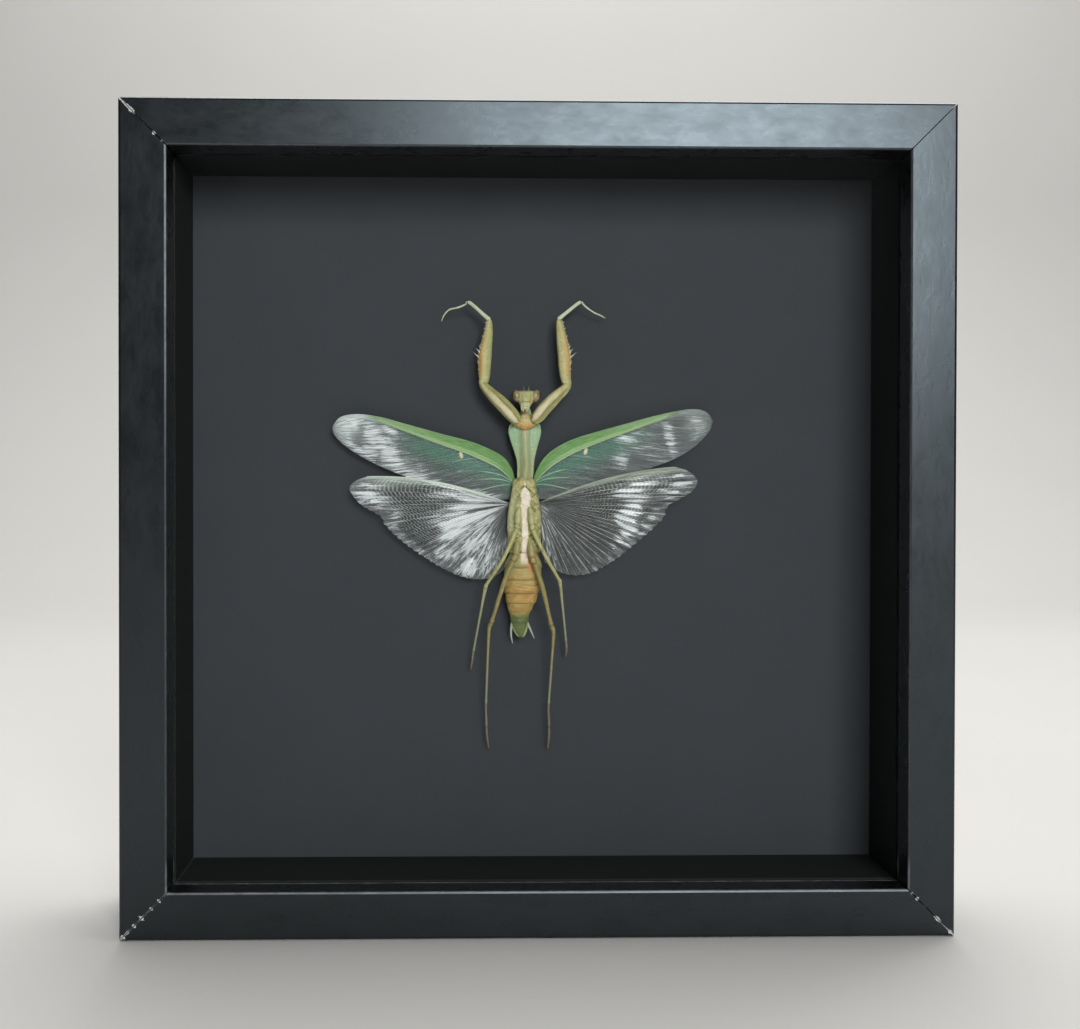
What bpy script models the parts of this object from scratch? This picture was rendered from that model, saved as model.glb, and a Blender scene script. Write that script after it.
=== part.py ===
"""A large mantis with spread wings, dried and mounted belly outwards in a square black box frame.

The frame stands on its bottom rail with its glass towards -Y. The origin is the middle of the
frame's footprint: X runs along the bottom rail, Y through the frame's depth and Z up.
Places on the specimen are given in millimetres as (x, z, h): x and z from the middle of the
backing card, and h forwards from the card's face.
"""
import math

import bmesh
import bpy
import numpy as np

MM = 0.001

# Box frame
SIDE = 0.250
DEPTH = 0.045
RAIL_FACE = 0.0142
RAIL_WALL = 0.0097
LIP = 0.0092
FRONT_RADIUS = 0.0009
LIP_RADIUS = 0.0006
REAR_CHAMFER = 0.0006
CLEARANCE = 0.0003
FRONT = -DEPTH / 2

# Glass, liner, card and back, measured back from the front face
GLASS_THICKNESS = 0.002
CARD_DEPTH = 0.037
CARD_THICKNESS = 0.001
PANEL_THICKNESS = 0.0025
PANE_SIDE = SIDE - 2 * (RAIL_WALL + CLEARANCE)
CARD_FACE = FRONT + CARD_DEPTH
PANEL_REAR = CARD_DEPTH + CARD_THICKNESS + CLEARANCE + PANEL_THICKNESS

# Spring points that hold the back in, two to a rail
TAB_WIDTH = 0.009
TAB_LENGTH = 0.013
TAB_THICKNESS = 0.0006
TAB_SUNK = 0.0035
TAB_SPACING = 0.120

# Hanging plate let into the back of the top rail
PLATE_LENGTH = 0.042
PLATE_WIDTH = 0.006
PLATE_THICKNESS = 0.0008
PLATE_FROM_TOP = 0.0051
KEYHOLE_RADIUS = 0.0021
KEYHOLE_SLOT = 0.0036
KEYHOLE_POCKET = 0.005

# Specimen
MIDDLE_Z = SIDE / 2
WING_ROOT_X = -3.5
WING_RISE = 1.5
WING_REACH = 60.0
FOREWING_H = 3.3
HINDWING_H = 4.3
FOREWING_THICKNESS = 0.30
HINDWING_THICKNESS = 0.30
VEIN_HEIGHT = 0.25
PLEAT_HEIGHT = 0.22


def clear_scene():
    for item in list(bpy.data.objects):
        bpy.data.objects.remove(item, do_unlink=True)


def finish(name, colour, roughness, metallic=0.0, alpha=1.0):
    """A Principled material of one plain colour"""
    material = bpy.data.materials.new(name)
    material.use_nodes = True
    shader = material.node_tree.nodes["Principled BSDF"]
    shader.inputs["Base Color"].default_value = (*colour, 1.0)
    shader.inputs["Roughness"].default_value = roughness
    shader.inputs["Metallic"].default_value = metallic
    shader.inputs["Alpha"].default_value = alpha
    material.diffuse_color = (*colour, alpha)
    return material


def add_object(name, vertices, faces, material, smooth_angle=35.0, spines=()):
    """Makes one closed object from its points in metres; spines are (face, tip, width share)"""
    shape = bmesh.new()
    corners = [shape.verts.new(point) for point in vertices]
    sides = [shape.faces.new([corners[i] for i in face]) for face in faces]
    bmesh.ops.recalc_face_normals(shape, faces=shape.faces)
    for index, tip, share in spines:
        raise_spine(shape, sides[index], tip, share)
    mesh = bpy.data.meshes.new(name)
    shape.to_mesh(mesh)
    shape.free()
    mesh.shade_smooth()
    mesh.set_sharp_from_angle(angle=math.radians(smooth_angle))
    mesh.materials.append(material)
    thing = bpy.data.objects.new(name, mesh)
    bpy.context.scene.collection.objects.link(thing)
    return thing


def raise_spine(shape, face, tip, share):
    """Draws a small spine out of one face, to a tip moved from the face's middle"""
    width = min(edge.calc_length() for edge in face.edges)
    bmesh.ops.inset_individual(shape, faces=[face], thickness=width * (1 - share) / 2)
    peak = bmesh.ops.poke(shape, faces=[face])["verts"][0]
    for axis in range(3):
        peak.co[axis] += tip[axis]


def box(low, high):
    """The eight corners and six faces of a box"""
    corners = [(x, y, z) for x in (low[0], high[0]) for y in (low[1], high[1]) for z in (low[2], high[2])]
    faces = [(0, 1, 3, 2), (4, 6, 7, 5), (0, 4, 5, 1), (2, 3, 7, 6), (0, 2, 6, 4), (1, 5, 7, 3)]
    return corners, faces


def merge(shapes):
    """Puts several shapes' points and faces in one list of each"""
    vertices, faces = [], []
    for points, polygons in shapes:
        start = len(vertices)
        vertices += list(points)
        faces += [tuple(start + i for i in polygon) for polygon in polygons]
    return vertices, faces


def as_tool(thing):
    """Marks an object as a cutter or an addition that isn't a piece itself"""
    thing.hide_render = True
    thing.display_type = "WIRE"
    return thing


def combine(thing, tool, operation):
    modifier = thing.modifiers.new("shape", "BOOLEAN")
    modifier.operation = operation
    modifier.solver = "EXACT"
    modifier.object = as_tool(tool)


def turned(points, quarter):
    """Turns points by quarter turns about the frame's middle axis, front to back"""
    result = []
    for x, y, z in points:
        across, up = x, z - MIDDLE_Z
        for _ in range(quarter):
            across, up = up, -across
        result.append((across, y, up + MIDDLE_Z))
    return result


SIDES = {"bottom": 0, "left": 1, "top": 2, "right": 3}


def arc(centre_u, centre_v, radius, start, end, steps):
    angles = np.radians(np.linspace(start, end, steps + 1))
    return [(centre_u + radius * math.cos(a), centre_v + radius * math.sin(a)) for a in angles]


def rail_profile():
    """Section of a rail as (inwards from the outer side, back from the front face)"""
    section = arc(FRONT_RADIUS, FRONT_RADIUS, FRONT_RADIUS, 180, 270, 3)
    section += arc(RAIL_FACE - LIP_RADIUS, LIP_RADIUS, LIP_RADIUS, 270, 360, 2)
    section += [(RAIL_FACE, LIP), (RAIL_WALL, LIP), (RAIL_WALL, DEPTH)]
    section += [(REAR_CHAMFER, DEPTH), (0.0, DEPTH - REAR_CHAMFER)]
    return section


def liner_profile():
    inner, outer = RAIL_FACE, RAIL_WALL + CLEARANCE
    front = LIP + CLEARANCE + GLASS_THICKNESS + CLEARANCE
    back = CARD_DEPTH - CLEARANCE
    return [(outer, front), (inner, front), (inner, back), (outer, back)]


def mitred_bar(name, section, side, material):
    """A straight bar of the section along one side, cut at 45 degrees at both ends"""
    count = len(section)
    setback = CLEARANCE / math.sqrt(2)
    points = []
    for end in (-1, 1):
        for inwards, back in section:
            points.append((end * (SIDE / 2 - inwards - setback), FRONT + back, inwards))
    faces = [(i, (i + 1) % count, count + (i + 1) % count, count + i) for i in range(count)]
    faces += [tuple(range(count)), tuple(range(2 * count - 1, count - 1, -1))]
    return add_object(name, turned(points, SIDES[side]), faces, material, 30.0)


def tab_places():
    return (-TAB_SPACING / 2, TAB_SPACING / 2)


def tab_slots(side):
    """Slots in a rail's inner wall for its two spring points"""
    back = FRONT + PANEL_REAR
    slots = []
    for middle in tab_places():
        reach = TAB_WIDTH / 2 + CLEARANCE
        low = (middle - reach, back, RAIL_WALL - TAB_SUNK - CLEARANCE)
        high = (middle + reach, back + TAB_THICKNESS + 2 * CLEARANCE, RAIL_WALL + CLEARANCE)
        corners, faces = box(low, high)
        slots.append((turned(corners, SIDES[side]), faces))
    return slots


def hanger_recess():
    """A shallow bed for the hanging plate with a deeper pocket behind its keyhole"""
    middle = SIDE - PLATE_FROM_TOP
    half_length = PLATE_LENGTH / 2 + CLEARANCE
    half_width = PLATE_WIDTH / 2 + CLEARANCE
    rear = -FRONT
    bed_floor = rear - PLATE_THICKNESS - CLEARANCE
    bed = box((-half_length, bed_floor, middle - half_width), (half_length, rear + MM, middle + half_width))
    pocket_half = 2 * KEYHOLE_RADIUS
    pocket_front = bed_floor - KEYHOLE_POCKET
    pocket_side = half_width - CLEARANCE - MM / 2
    pocket = box((-pocket_half, pocket_front, middle - pocket_side), (pocket_half, rear, middle + pocket_side))
    return bed, pocket


def make_frame(foil):
    for side in SIDES:
        rail = mitred_bar("rail_" + side, rail_profile(), side, foil)
        cutter = add_object("slots_" + side, *merge(tab_slots(side)), foil)
        combine(rail, cutter, "DIFFERENCE")
        if side == "top":
            for name, shape in zip(("hanger_bed", "hanger_pocket"), hanger_recess()):
                combine(rail, add_object(name, *shape, foil), "DIFFERENCE")


def make_sheet(name, front, thickness, material):
    """A square sheet that lies in the rails' rebate"""
    half = PANE_SIDE / 2
    low = (-half, FRONT + front, MIDDLE_Z - half)
    high = (half, FRONT + front + thickness, MIDDLE_Z + half)
    return add_object(name, *box(low, high), material)


def make_tabs(steel):
    """Flat spring points with rounded ends, each sunk in its rail and lying on the back panel"""
    front = FRONT + PANEL_REAR + CLEARANCE
    half = TAB_WIDTH / 2
    straight = RAIL_WALL - TAB_SUNK + TAB_LENGTH - half
    outline = [(-half, RAIL_WALL - TAB_SUNK), (half, RAIL_WALL - TAB_SUNK)]
    outline += arc(0.0, straight, half, 0, 180, 8)
    count = len(outline)
    for side in SIDES:
        for number, middle in enumerate(tab_places(), start=1):
            points = []
            for y in (front, front + TAB_THICKNESS):
                points += [(middle + across, y, up) for across, up in outline]
            faces = [tuple(range(count)), tuple(range(2 * count - 1, count - 1, -1))]
            faces += [(i, (i + 1) % count, count + (i + 1) % count, count + i) for i in range(count)]
            name = "spring_point_%s_%d" % (side, number)
            add_object(name, turned(points, SIDES[side]), faces, steel)


def make_hanger(steel):
    """A steel plate with a keyhole, flush with the back of the top rail"""
    middle = SIDE - PLATE_FROM_TOP
    rear = -FRONT
    low = (-PLATE_LENGTH / 2, rear - PLATE_THICKNESS, middle - PLATE_WIDTH / 2)
    high = (PLATE_LENGTH / 2, rear, middle + PLATE_WIDTH / 2)
    plate = add_object("hanging_plate", *box(low, high), steel)
    round_end = arc(-KEYHOLE_SLOT / 2, 0.0, KEYHOLE_RADIUS, 30, 330, 12)
    slot_end = arc(KEYHOLE_SLOT / 2, 0.0, KEYHOLE_RADIUS / 2, -90, 90, 6)
    outline = round_end + slot_end
    count = len(outline)
    points = []
    for y in (rear - 2 * MM, rear + MM):
        points += [(across, y, middle + up) for across, up in outline]
    faces = [tuple(range(count)), tuple(range(2 * count - 1, count - 1, -1))]
    faces += [(i, (i + 1) % count, count + (i + 1) % count, count + i) for i in range(count)]
    combine(plate, add_object("keyhole", points, faces, steel), "DIFFERENCE")


def place(x, z, h):
    """A place on the specimen, millimetres, as a point of the frame in metres"""
    return np.stack([np.asarray(x) * MM, CARD_FACE - np.asarray(h) * MM, MIDDLE_Z + np.asarray(z) * MM], -1)


def smooth_line(points, steps):
    """Points along a smooth curve through the given ones (Catmull-Rom), steps to each stretch"""
    knots = np.array(points, float)
    padded = np.vstack([2 * knots[0] - knots[1], knots, 2 * knots[-1] - knots[-2]])
    line = []
    for a, b, c, d in zip(padded, padded[1:], padded[2:], padded[3:]):
        for t in np.arange(steps) / steps:
            line.append(0.5 * (2 * b + (c - a) * t + (2 * a - 5 * b + 4 * c - d) * t**2
                               + (3 * b - a - 3 * c + d) * t**3))
    return np.array(line + [knots[-1]])


def along(line, count):
    """The line resampled at count evenly spaced places"""
    steps = np.r_[0.0, np.cumsum(np.linalg.norm(np.diff(line, axis=0), axis=1))]
    wanted = np.linspace(0.0, steps[-1], count)
    return np.stack([np.interp(wanted, steps, line[:, k]) for k in range(line.shape[1])], -1)


def skin(rings):
    """Joins rings of equal count into a closed skin, with a pole at each end's middle"""
    count = len(rings[0])
    vertices = [point for ring in rings for point in ring]
    faces = []
    for row in range(len(rings) - 1):
        for i in range(count):
            j = (i + 1) % count
            faces.append((row * count + i, row * count + j, (row + 1) * count + j, (row + 1) * count + i))
    for ring, first in ((rings[0], 0), (rings[-1], (len(rings) - 1) * count)):
        pole = len(vertices)
        vertices.append(np.mean(ring, axis=0))
        faces += [(first + i, first + (i + 1) % count, pole) for i in range(count)]
    return vertices, faces


def body_rings(rows, sides):
    """Rings of a body section from rows of (z, middle x, half width, h, belly depth, back depth)"""
    angles = np.linspace(0.0, 2 * math.pi, sides, endpoint=False)
    rings = []
    for z, middle, half, h, belly, back in rows:
        swell = np.sin(angles)
        depth = np.where(swell > 0, belly, back)
        rings.append(place(middle + half * np.cos(angles), np.full(sides, z), h + depth * swell))
    return rings


def make_head(material):
    """A triangular head with the face outwards, the eyes as its upper corners"""
    rows = [
        (41.0, -2.9, 3.2, 7.7, 0.9, 1.1), (40.6, -2.9, 4.3, 7.8, 1.7, 1.7), (39.6, -2.9, 4.8, 7.9, 2.2, 2.0),
        (38.3, -2.9, 4.5, 8.1, 2.3, 2.0), (37.3, -3.0, 3.4, 8.3, 2.3, 1.9), (36.2, -3.15, 2.4, 8.6, 2.1, 1.7),
        (35.2, -3.3, 1.75, 8.8, 1.7, 1.4), (34.5, -3.4, 1.2, 8.9, 1.2, 1.0), (34.2, -3.4, 0.6, 8.9, 0.6, 0.5),
    ]
    sides = 16
    stub = (0.0, -0.2 * MM, 1.0 * MM)
    feelers = [(sides + 3, stub, 0.35), (sides + 4, stub, 0.35)]
    add_object("head", *skin(body_rings(rows, sides)), material, 60.0, feelers)


def make_prothorax(material):
    """The long neck shield: a slim keel down the belly side between thin leaf-like edges"""
    rows = [
        (36.3, -3.0, 1.0, 4.8, 0.5), (35.4, -3.0, 1.5, 5.0, 0.9), (33.6, -3.05, 2.1, 5.1, 1.1),
        (31.6, -3.1, 3.3, 5.1, 1.2), (30.3, -3.15, 4.75, 5.1, 1.1), (29.2, -3.2, 5.15, 5.1, 1.0),
        (27.4, -3.2, 5.2, 5.1, 1.0), (24.3, -3.15, 4.35, 5.1, 1.1), (21.5, -3.05, 3.5, 5.1, 1.3),
        (18.9, -2.95, 2.85, 5.2, 1.4), (16.2, -2.95, 2.6, 5.3, 1.5), (13.7, -3.1, 2.6, 5.4, 1.5),
    ]
    sides = 20
    angles = np.linspace(0.0, 2 * math.pi, sides, endpoint=False)
    edge, keel_half = 0.35, 2.0
    rings = []
    for z, middle, half, h, keel in rows:
        across = half * np.cos(angles)
        arch = np.sqrt(np.clip(1 - (across / half) ** 2, 0, 1))
        ridge = keel * np.clip(1 - (across / min(keel_half, half)) ** 2, 0, 1)
        swell = np.where(np.sin(angles) >= 0, edge * arch + ridge, -(edge + 0.9) * arch)
        rings.append(place(middle + across, np.full(sides, z), h + swell))
    add_object("prothorax", *skin(rings), material, 50.0)


def make_thorax(material):
    rows = [
        (13.3, -3.4, 2.5, 5.8, 1.2, 1.3), (12.2, -3.45, 3.4, 6.0, 2.2, 1.9), (9.6, -3.4, 3.95, 6.2, 3.0, 2.5),
        (6.3, -3.3, 4.6, 6.3, 3.6, 3.0), (3.6, -3.35, 5.05, 6.3, 3.8, 3.1), (0.6, -3.4, 5.4, 6.3, 3.9, 3.2),
        (-3.1, -3.4, 5.5, 6.3, 3.9, 3.2), (-5.4, -3.4, 5.3, 6.3, 3.7, 3.1), (-7.8, -3.45, 5.45, 6.3, 3.8, 3.1),
        (-10.4, -3.5, 5.3, 6.3, 3.6, 3.0), (-11.6, -3.5, 4.6, 6.3, 3.0, 2.6),
    ]
    add_object("thorax", *skin(body_rings(rows, 18)), material, 60.0)


def abdomen_rows():
    """Outline rows with a shallow step where each belly plate overlaps the next"""
    outline = np.array([
        (-11.9, -3.5, 4.7), (-14.5, -3.65, 5.9), (-17.4, -3.85, 6.15), (-21.9, -3.95, 5.95), (-24.3, -4.1, 5.6),
        (-26.6, -4.3, 5.0), (-29.0, -4.65, 4.1), (-31.3, -4.8, 3.25), (-33.6, -4.8, 2.6), (-36.2, -4.55, 1.85),
        (-38.0, -4.3, 1.0), (-38.6, -4.25, 0.45),
    ])
    plates = (-15.9, -19.8, -24.2, -27.4, -30.2, -33.2)
    step, lap = 0.94, 0.5
    levels = [(z, 1.0) for z in outline[:, 0] if min(abs(z - edge) for edge in plates) > 1.2]
    for edge in plates:
        levels += [(edge + lap, 1.015), (edge, step)]
    rows = []
    for z, share in sorted(levels, reverse=True):
        middle = np.interp(-z, -outline[:, 0], outline[:, 1])
        half = np.interp(-z, -outline[:, 0], outline[:, 2])
        depth = 0.68 * half
        rows.append((z, middle, half * share, 6.1 + 0.035 * (z + 12), depth * share, 0.8 * depth * share))
    return rows


def make_abdomen(material):
    """The abdomen, with its two thin tail feelers united with it"""
    body = add_object("abdomen", *skin(body_rings(abdomen_rows(), 18)), material, 40.0)
    feelers = []
    for line in (
        [(-6.5, -32.8, 5.6, 0.42), (-7.5, -35.0, 5.4, 0.38), (-7.5, -38.0, 5.1, 0.30), (-7.0, -40.5, 4.8, 0.14)],
        [(-3.0, -32.6, 5.6, 0.42), (-2.1, -34.2, 5.4, 0.38), (-1.0, -36.6, 5.1, 0.30), (0.0, -38.9, 4.8, 0.14)],
    ):
        feelers.append(skin(limb_rings(line, 6)))
    combine(body, add_object("tail_feelers", *merge(feelers), material), "UNION")


def limb_rings(stations, sides):
    """Rings square to a line of (x, z, h, half width) or (x, z, h, half width, half depth)"""
    spots = np.array([station[:3] for station in stations], float)
    centres = place(spots[:, 0], spots[:, 1], spots[:, 2])
    runs = np.gradient(centres, axis=0)
    runs /= np.linalg.norm(runs, axis=1, keepdims=True)
    outwards = np.array([0.0, -1.0, 0.0])
    angles = np.linspace(0.0, 2 * math.pi, sides, endpoint=False)
    rings = []
    for centre, run, station in zip(centres, runs, stations):
        across = np.cross(run, outwards)
        across /= np.linalg.norm(across)
        lift = np.cross(across, run)
        half = station[3] * MM
        depth = (station[4] if len(station) > 4 else station[3]) * MM
        ring = [centre + half * math.cos(a) * across + depth * math.sin(a) * lift for a in angles]
        rings.append(np.array(ring))
    return rings


FORELEG_SIDES = 8
FORELEG_STEPS = 3


def make_foreleg(name, stations, mirror, material):
    """A grasping leg: flat broad coxa and femur, slim shin folded outwards, and a thread-like foot.

    The femur has a row of spines on its outer edge, the longest one in the middle, and the shin
    ends in a hook.
    """
    outer = 0 if mirror > 0 else FORELEG_SIDES // 2 - 1
    spines = []
    for station, length in ((7.67, 0.6), (8.33, 0.8), (9, 2.6), (9.67, 1.1), (10.33, 0.9), (11, 0.9), (11.67, 0.7)):
        face = round(station * FORELEG_STEPS) * FORELEG_SIDES + outer
        spines.append((face, (mirror * length * 0.75 * MM, -0.2 * length * MM, length * 0.6 * MM), 0.6))
    hook_face = 17 * FORELEG_STEPS * FORELEG_SIDES + outer
    spines.append((hook_face, (mirror * 1.5 * MM, -0.1 * MM, -0.7 * MM), 0.7))
    rings = limb_rings(smooth_line(stations, FORELEG_STEPS), FORELEG_SIDES)
    add_object(name, *skin(rings), material, 60.0, spines)


FORELEG_LEFT = [
    (-5.2, 30.6, 8.8, 0.5, 0.4), (-5.5, 30.9, 8.8, 1.3, 1.0), (-6.6, 32.0, 8.8, 1.95, 1.5), (-9.0, 34.7, 8.7, 2.25, 1.8),
    (-12.6, 38.3, 8.4, 2.1, 1.7), (-15.6, 41.4, 8.1, 1.55, 1.3), (-16.9, 43.2, 7.9, 1.3, 1.1),
    (-16.4, 44.6, 7.8, 1.65, 1.3), (-16.3, 48.0, 7.7, 1.9, 1.4), (-16.2, 51.8, 7.6, 2.1, 1.5),
    (-15.7, 55.5, 7.5, 1.8, 1.35), (-15.1, 59.3, 7.3, 1.45, 1.1), (-14.8, 62.3, 7.1, 1.05, 0.85),
    (-14.7, 63.6, 7.0, 0.75, 0.65), (-15.5, 64.4, 6.9, 0.62, 0.55), (-17.6, 66.3, 6.7, 0.55, 0.5),
    (-19.8, 68.3, 6.5, 0.5, 0.45), (-21.1, 69.3, 6.3, 0.5, 0.45), (-21.9, 69.4, 6.2, 0.4, 0.4),
    (-22.6, 68.7, 6.0, 0.3, 0.3), (-24.8, 67.8, 5.6, 0.28, 0.28), (-27.3, 67.3, 5.0, 0.25, 0.25),
    (-28.6, 66.4, 4.5, 0.25, 0.25), (-29.6, 65.0, 4.0, 0.22, 0.22), (-30.1, 63.7, 3.4, 0.14, 0.14),
]
FORELEG_RIGHT = [
    (-1.0, 30.8, 8.8, 0.5, 0.4), (-0.7, 31.1, 8.8, 1.3, 1.0), (0.5, 32.3, 8.8, 1.95, 1.5), (2.6, 35.0, 8.7, 2.15, 1.8),
    (5.8, 38.4, 8.4, 2.05, 1.7), (9.0, 41.2, 8.1, 1.6, 1.3), (10.4, 43.0, 7.9, 1.3, 1.1),
    (9.9, 44.5, 7.8, 1.6, 1.3), (9.5, 48.0, 7.7, 1.85, 1.4), (9.4, 51.8, 7.6, 2.05, 1.5),
    (8.9, 55.6, 7.5, 1.85, 1.35), (8.3, 59.4, 7.3, 1.45, 1.1), (7.9, 62.4, 7.1, 1.1, 0.85),
    (7.6, 63.8, 7.0, 0.75, 0.65), (8.3, 64.7, 6.9, 0.62, 0.55), (10.5, 66.5, 6.7, 0.55, 0.5),
    (12.9, 68.5, 6.5, 0.5, 0.45), (14.3, 69.5, 6.3, 0.5, 0.45), (15.1, 69.5, 6.2, 0.4, 0.4),
    (15.9, 68.6, 6.0, 0.3, 0.3), (17.2, 67.6, 5.6, 0.28, 0.28), (19.4, 66.3, 5.0, 0.25, 0.25),
    (20.9, 65.8, 4.5, 0.25, 0.25), (22.0, 65.3, 4.0, 0.22, 0.22), (22.9, 64.9, 3.4, 0.14, 0.14),
]
WALKING_LEGS = {
    "midleg_left": [
        (-5.1, 3.8, 10.7, 0.3), (-5.2, 3.2, 10.9, 0.7), (-5.6, 1.2, 11.2, 1.1), (-5.7, -1.9, 11.4, 1.0), (-6.5, -4.4, 11.5, 0.85),
        (-10.3, -12.9, 11.0, 0.7), (-15.2, -20.6, 9.4, 0.58), (-15.9, -22.3, 9.1, 0.6), (-17.4, -30.2, 7.7, 0.42),
        (-19.7, -43.2, 5.0, 0.36), (-20.0, -45.6, 4.3, 0.34), (-20.3, -47.6, 3.6, 0.32), (-20.5, -49.2, 3.0, 0.16),
    ],
    "midleg_right": [
        (-1.9, 3.8, 10.7, 0.3), (-1.8, 3.2, 10.9, 0.7), (-1.4, 1.0, 11.2, 1.1), (-1.2, -1.9, 11.4, 1.0), (-0.3, -4.8, 11.5, 0.85),
        (3.4, -12.3, 11.0, 0.7), (7.3, -19.0, 9.4, 0.58), (8.0, -20.6, 9.1, 0.6), (8.9, -28.0, 7.7, 0.42),
        (10.3, -39.9, 5.0, 0.36), (10.5, -41.8, 4.3, 0.34), (10.5, -43.5, 3.6, 0.32), (10.3, -45.0, 3.0, 0.16),
    ],
    "hindleg_left": [
        (-5.5, -6.8, 10.8, 0.3), (-5.6, -7.4, 11.0, 0.7), (-5.9, -9.2, 11.2, 1.1), (-6.3, -11.7, 11.4, 1.0), (-7.6, -14.6, 11.4, 0.95),
        (-10.2, -21.0, 10.9, 0.9), (-12.9, -30.0, 9.2, 0.68), (-14.0, -33.4, 8.6, 0.72), (-14.7, -35.8, 8.2, 0.62),
        (-15.1, -44.5, 7.0, 0.47), (-15.6, -60.3, 5.0, 0.38), (-15.5, -64.5, 4.5, 0.36), (-15.4, -68.5, 4.1, 0.36),
        (-15.1, -72.0, 3.6, 0.34), (-14.7, -74.6, 3.0, 0.17),
    ],
    "hindleg_right": [
        (-1.7, -7.0, 10.8, 0.3), (-1.7, -7.6, 11.0, 0.7), (-1.5, -9.6, 11.2, 1.1), (-1.1, -12.2, 11.4, 1.0), (0.2, -15.6, 11.4, 0.95),
        (2.4, -22.4, 10.9, 0.9), (4.3, -30.2, 9.2, 0.68), (5.3, -34.4, 8.6, 0.72), (6.0, -36.8, 8.2, 0.62),
        (5.6, -45.0, 7.0, 0.47), (4.7, -60.4, 5.0, 0.38), (4.8, -64.6, 4.5, 0.36), (4.9, -68.5, 4.1, 0.36),
        (4.8, -72.0, 3.6, 0.34), (4.5, -74.9, 3.0, 0.17),
    ],
}


def wing_h(x, root_h):
    """A spread wing rises gently forwards towards its tip"""
    return root_h + WING_RISE * np.abs(np.asarray(x) - WING_ROOT_X) / WING_REACH


FOREWINGS = {
    "forewing_left": {
        "front": [(-6.4, 13.2), (-7.6, 16.5), (-10.9, 20.4), (-19.6, 24.4), (-30.4, 27.3), (-41.6, 30.4),
                  (-49.9, 32.6), (-57.1, 33.5), (-62.6, 32.5), (-65.2, 29.4)],
        "rear": [(-7.4, 6.2), (-14.0, 5.9), (-21.8, 7.2), (-31.7, 9.8), (-43.3, 14.0), (-50.2, 16.9),
                 (-57.6, 20.8), (-62.8, 24.7), (-64.9, 27.4), (-65.2, 29.4)],
    },
    "forewing_right": {
        "front": [(-0.2, 13.4), (2.2, 18.3), (6.1, 22.2), (12.6, 25.6), (21.3, 28.3), (30.0, 30.7),
                  (38.7, 33.1), (49.6, 35.3), (55.2, 34.7), (57.9, 31.7)],
        "rear": [(0.6, 6.4), (7.0, 6.2), (12.5, 7.2), (19.6, 9.5), (27.0, 12.6), (34.5, 15.2),
                 (45.3, 19.2), (51.8, 23.2), (56.6, 28.2), (57.9, 31.7)],
    },
}
CHORD_STEPS = (0.0, 0.10, 0.20, 0.26, 0.32, 0.5, 0.75, 1.0)
VEIN_STEP = 3


def forewing_shape(front, rear):
    """A closed thin plate between the wing's two edges, with the main vein as a ridge"""
    rows = 21
    lead = along(smooth_line(front, 6), rows)
    trail = along(smooth_line(rear, 6), rows)
    steps = np.array(CHORD_STEPS)[None, :, None]
    flat = lead[:-1, None] * (1 - steps) + trail[:-1, None] * steps
    h = wing_h(flat[..., 0], FOREWING_H)
    half = np.full(h.shape, FOREWING_THICKNESS / 2)
    half[:, (0, -1)] *= 0.6
    ridge = half.copy()
    ridge[:, VEIN_STEP] += VEIN_HEIGHT * np.linspace(1.0, 0.2, rows - 1)
    outer = place(flat[..., 0], flat[..., 1], h + ridge)
    inner = place(flat[..., 0], flat[..., 1], h - half)
    tip = place(lead[-1, 0], lead[-1, 1], wing_h(lead[-1, 0], FOREWING_H))
    return plate(outer, inner, tip)


def plate(outer, inner, tip):
    """Closes two facing grids of points along their rims and at their common tip"""
    rows, columns = outer.shape[:2]
    vertices = list(outer.reshape(-1, 3)) + list(inner.reshape(-1, 3)) + [tip]
    behind = rows * columns
    faces = []
    for row in range(rows - 1):
        for column in range(columns - 1):
            a = row * columns + column
            faces.append((a, a + 1, a + columns + 1, a + columns))
            faces.append((behind + a, behind + a + columns, behind + a + columns + 1, behind + a + 1))
        for a in (row * columns, row * columns + columns - 1):
            faces.append((a, a + columns, behind + a + columns, behind + a))
    last = (rows - 1) * columns
    for column in range(columns - 1):
        faces.append((column, column + 1, behind + column + 1, behind + column))
        faces.append((last + column, last + column + 1, 2 * behind))
        faces.append((behind + last + column, behind + last + column + 1, 2 * behind))
    for a in (last, last + columns - 1):
        faces.append((a, behind + a, 2 * behind))
    return vertices, faces


HINDWINGS = {
    "hindwing_left": {
        "root": (-7.6, 4.6),
        "margin": [(-53.6, 13.5), (-57.9, 11.8), (-59.5, 9.0), (-56.2, 4.4), (-51.9, 1.8), (-49.6, 0.2),
                   (-48.6, -2.0), (-45.4, -5.4), (-39.0, -10.5), (-30.3, -16.0), (-23.9, -18.9), (-18.2, -19.9),
                   (-13.4, -19.2), (-9.6, -16.6)],
    },
    "hindwing_right": {
        "root": (1.0, 4.8),
        "margin": [(45.3, 16.7), (49.8, 15.2), (52.6, 12.2), (51.2, 9.0), (47.3, 6.3), (43.3, 3.9),
                   (41.9, 0.2), (37.7, -4.1), (32.1, -8.9), (26.5, -13.3), (19.6, -17.4), (13.9, -18.6),
                   (8.4, -17.6), (3.4, -14.4)],
    },
}
FRONT_BOW = 3.2
BOW_FADE = 0.28


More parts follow.
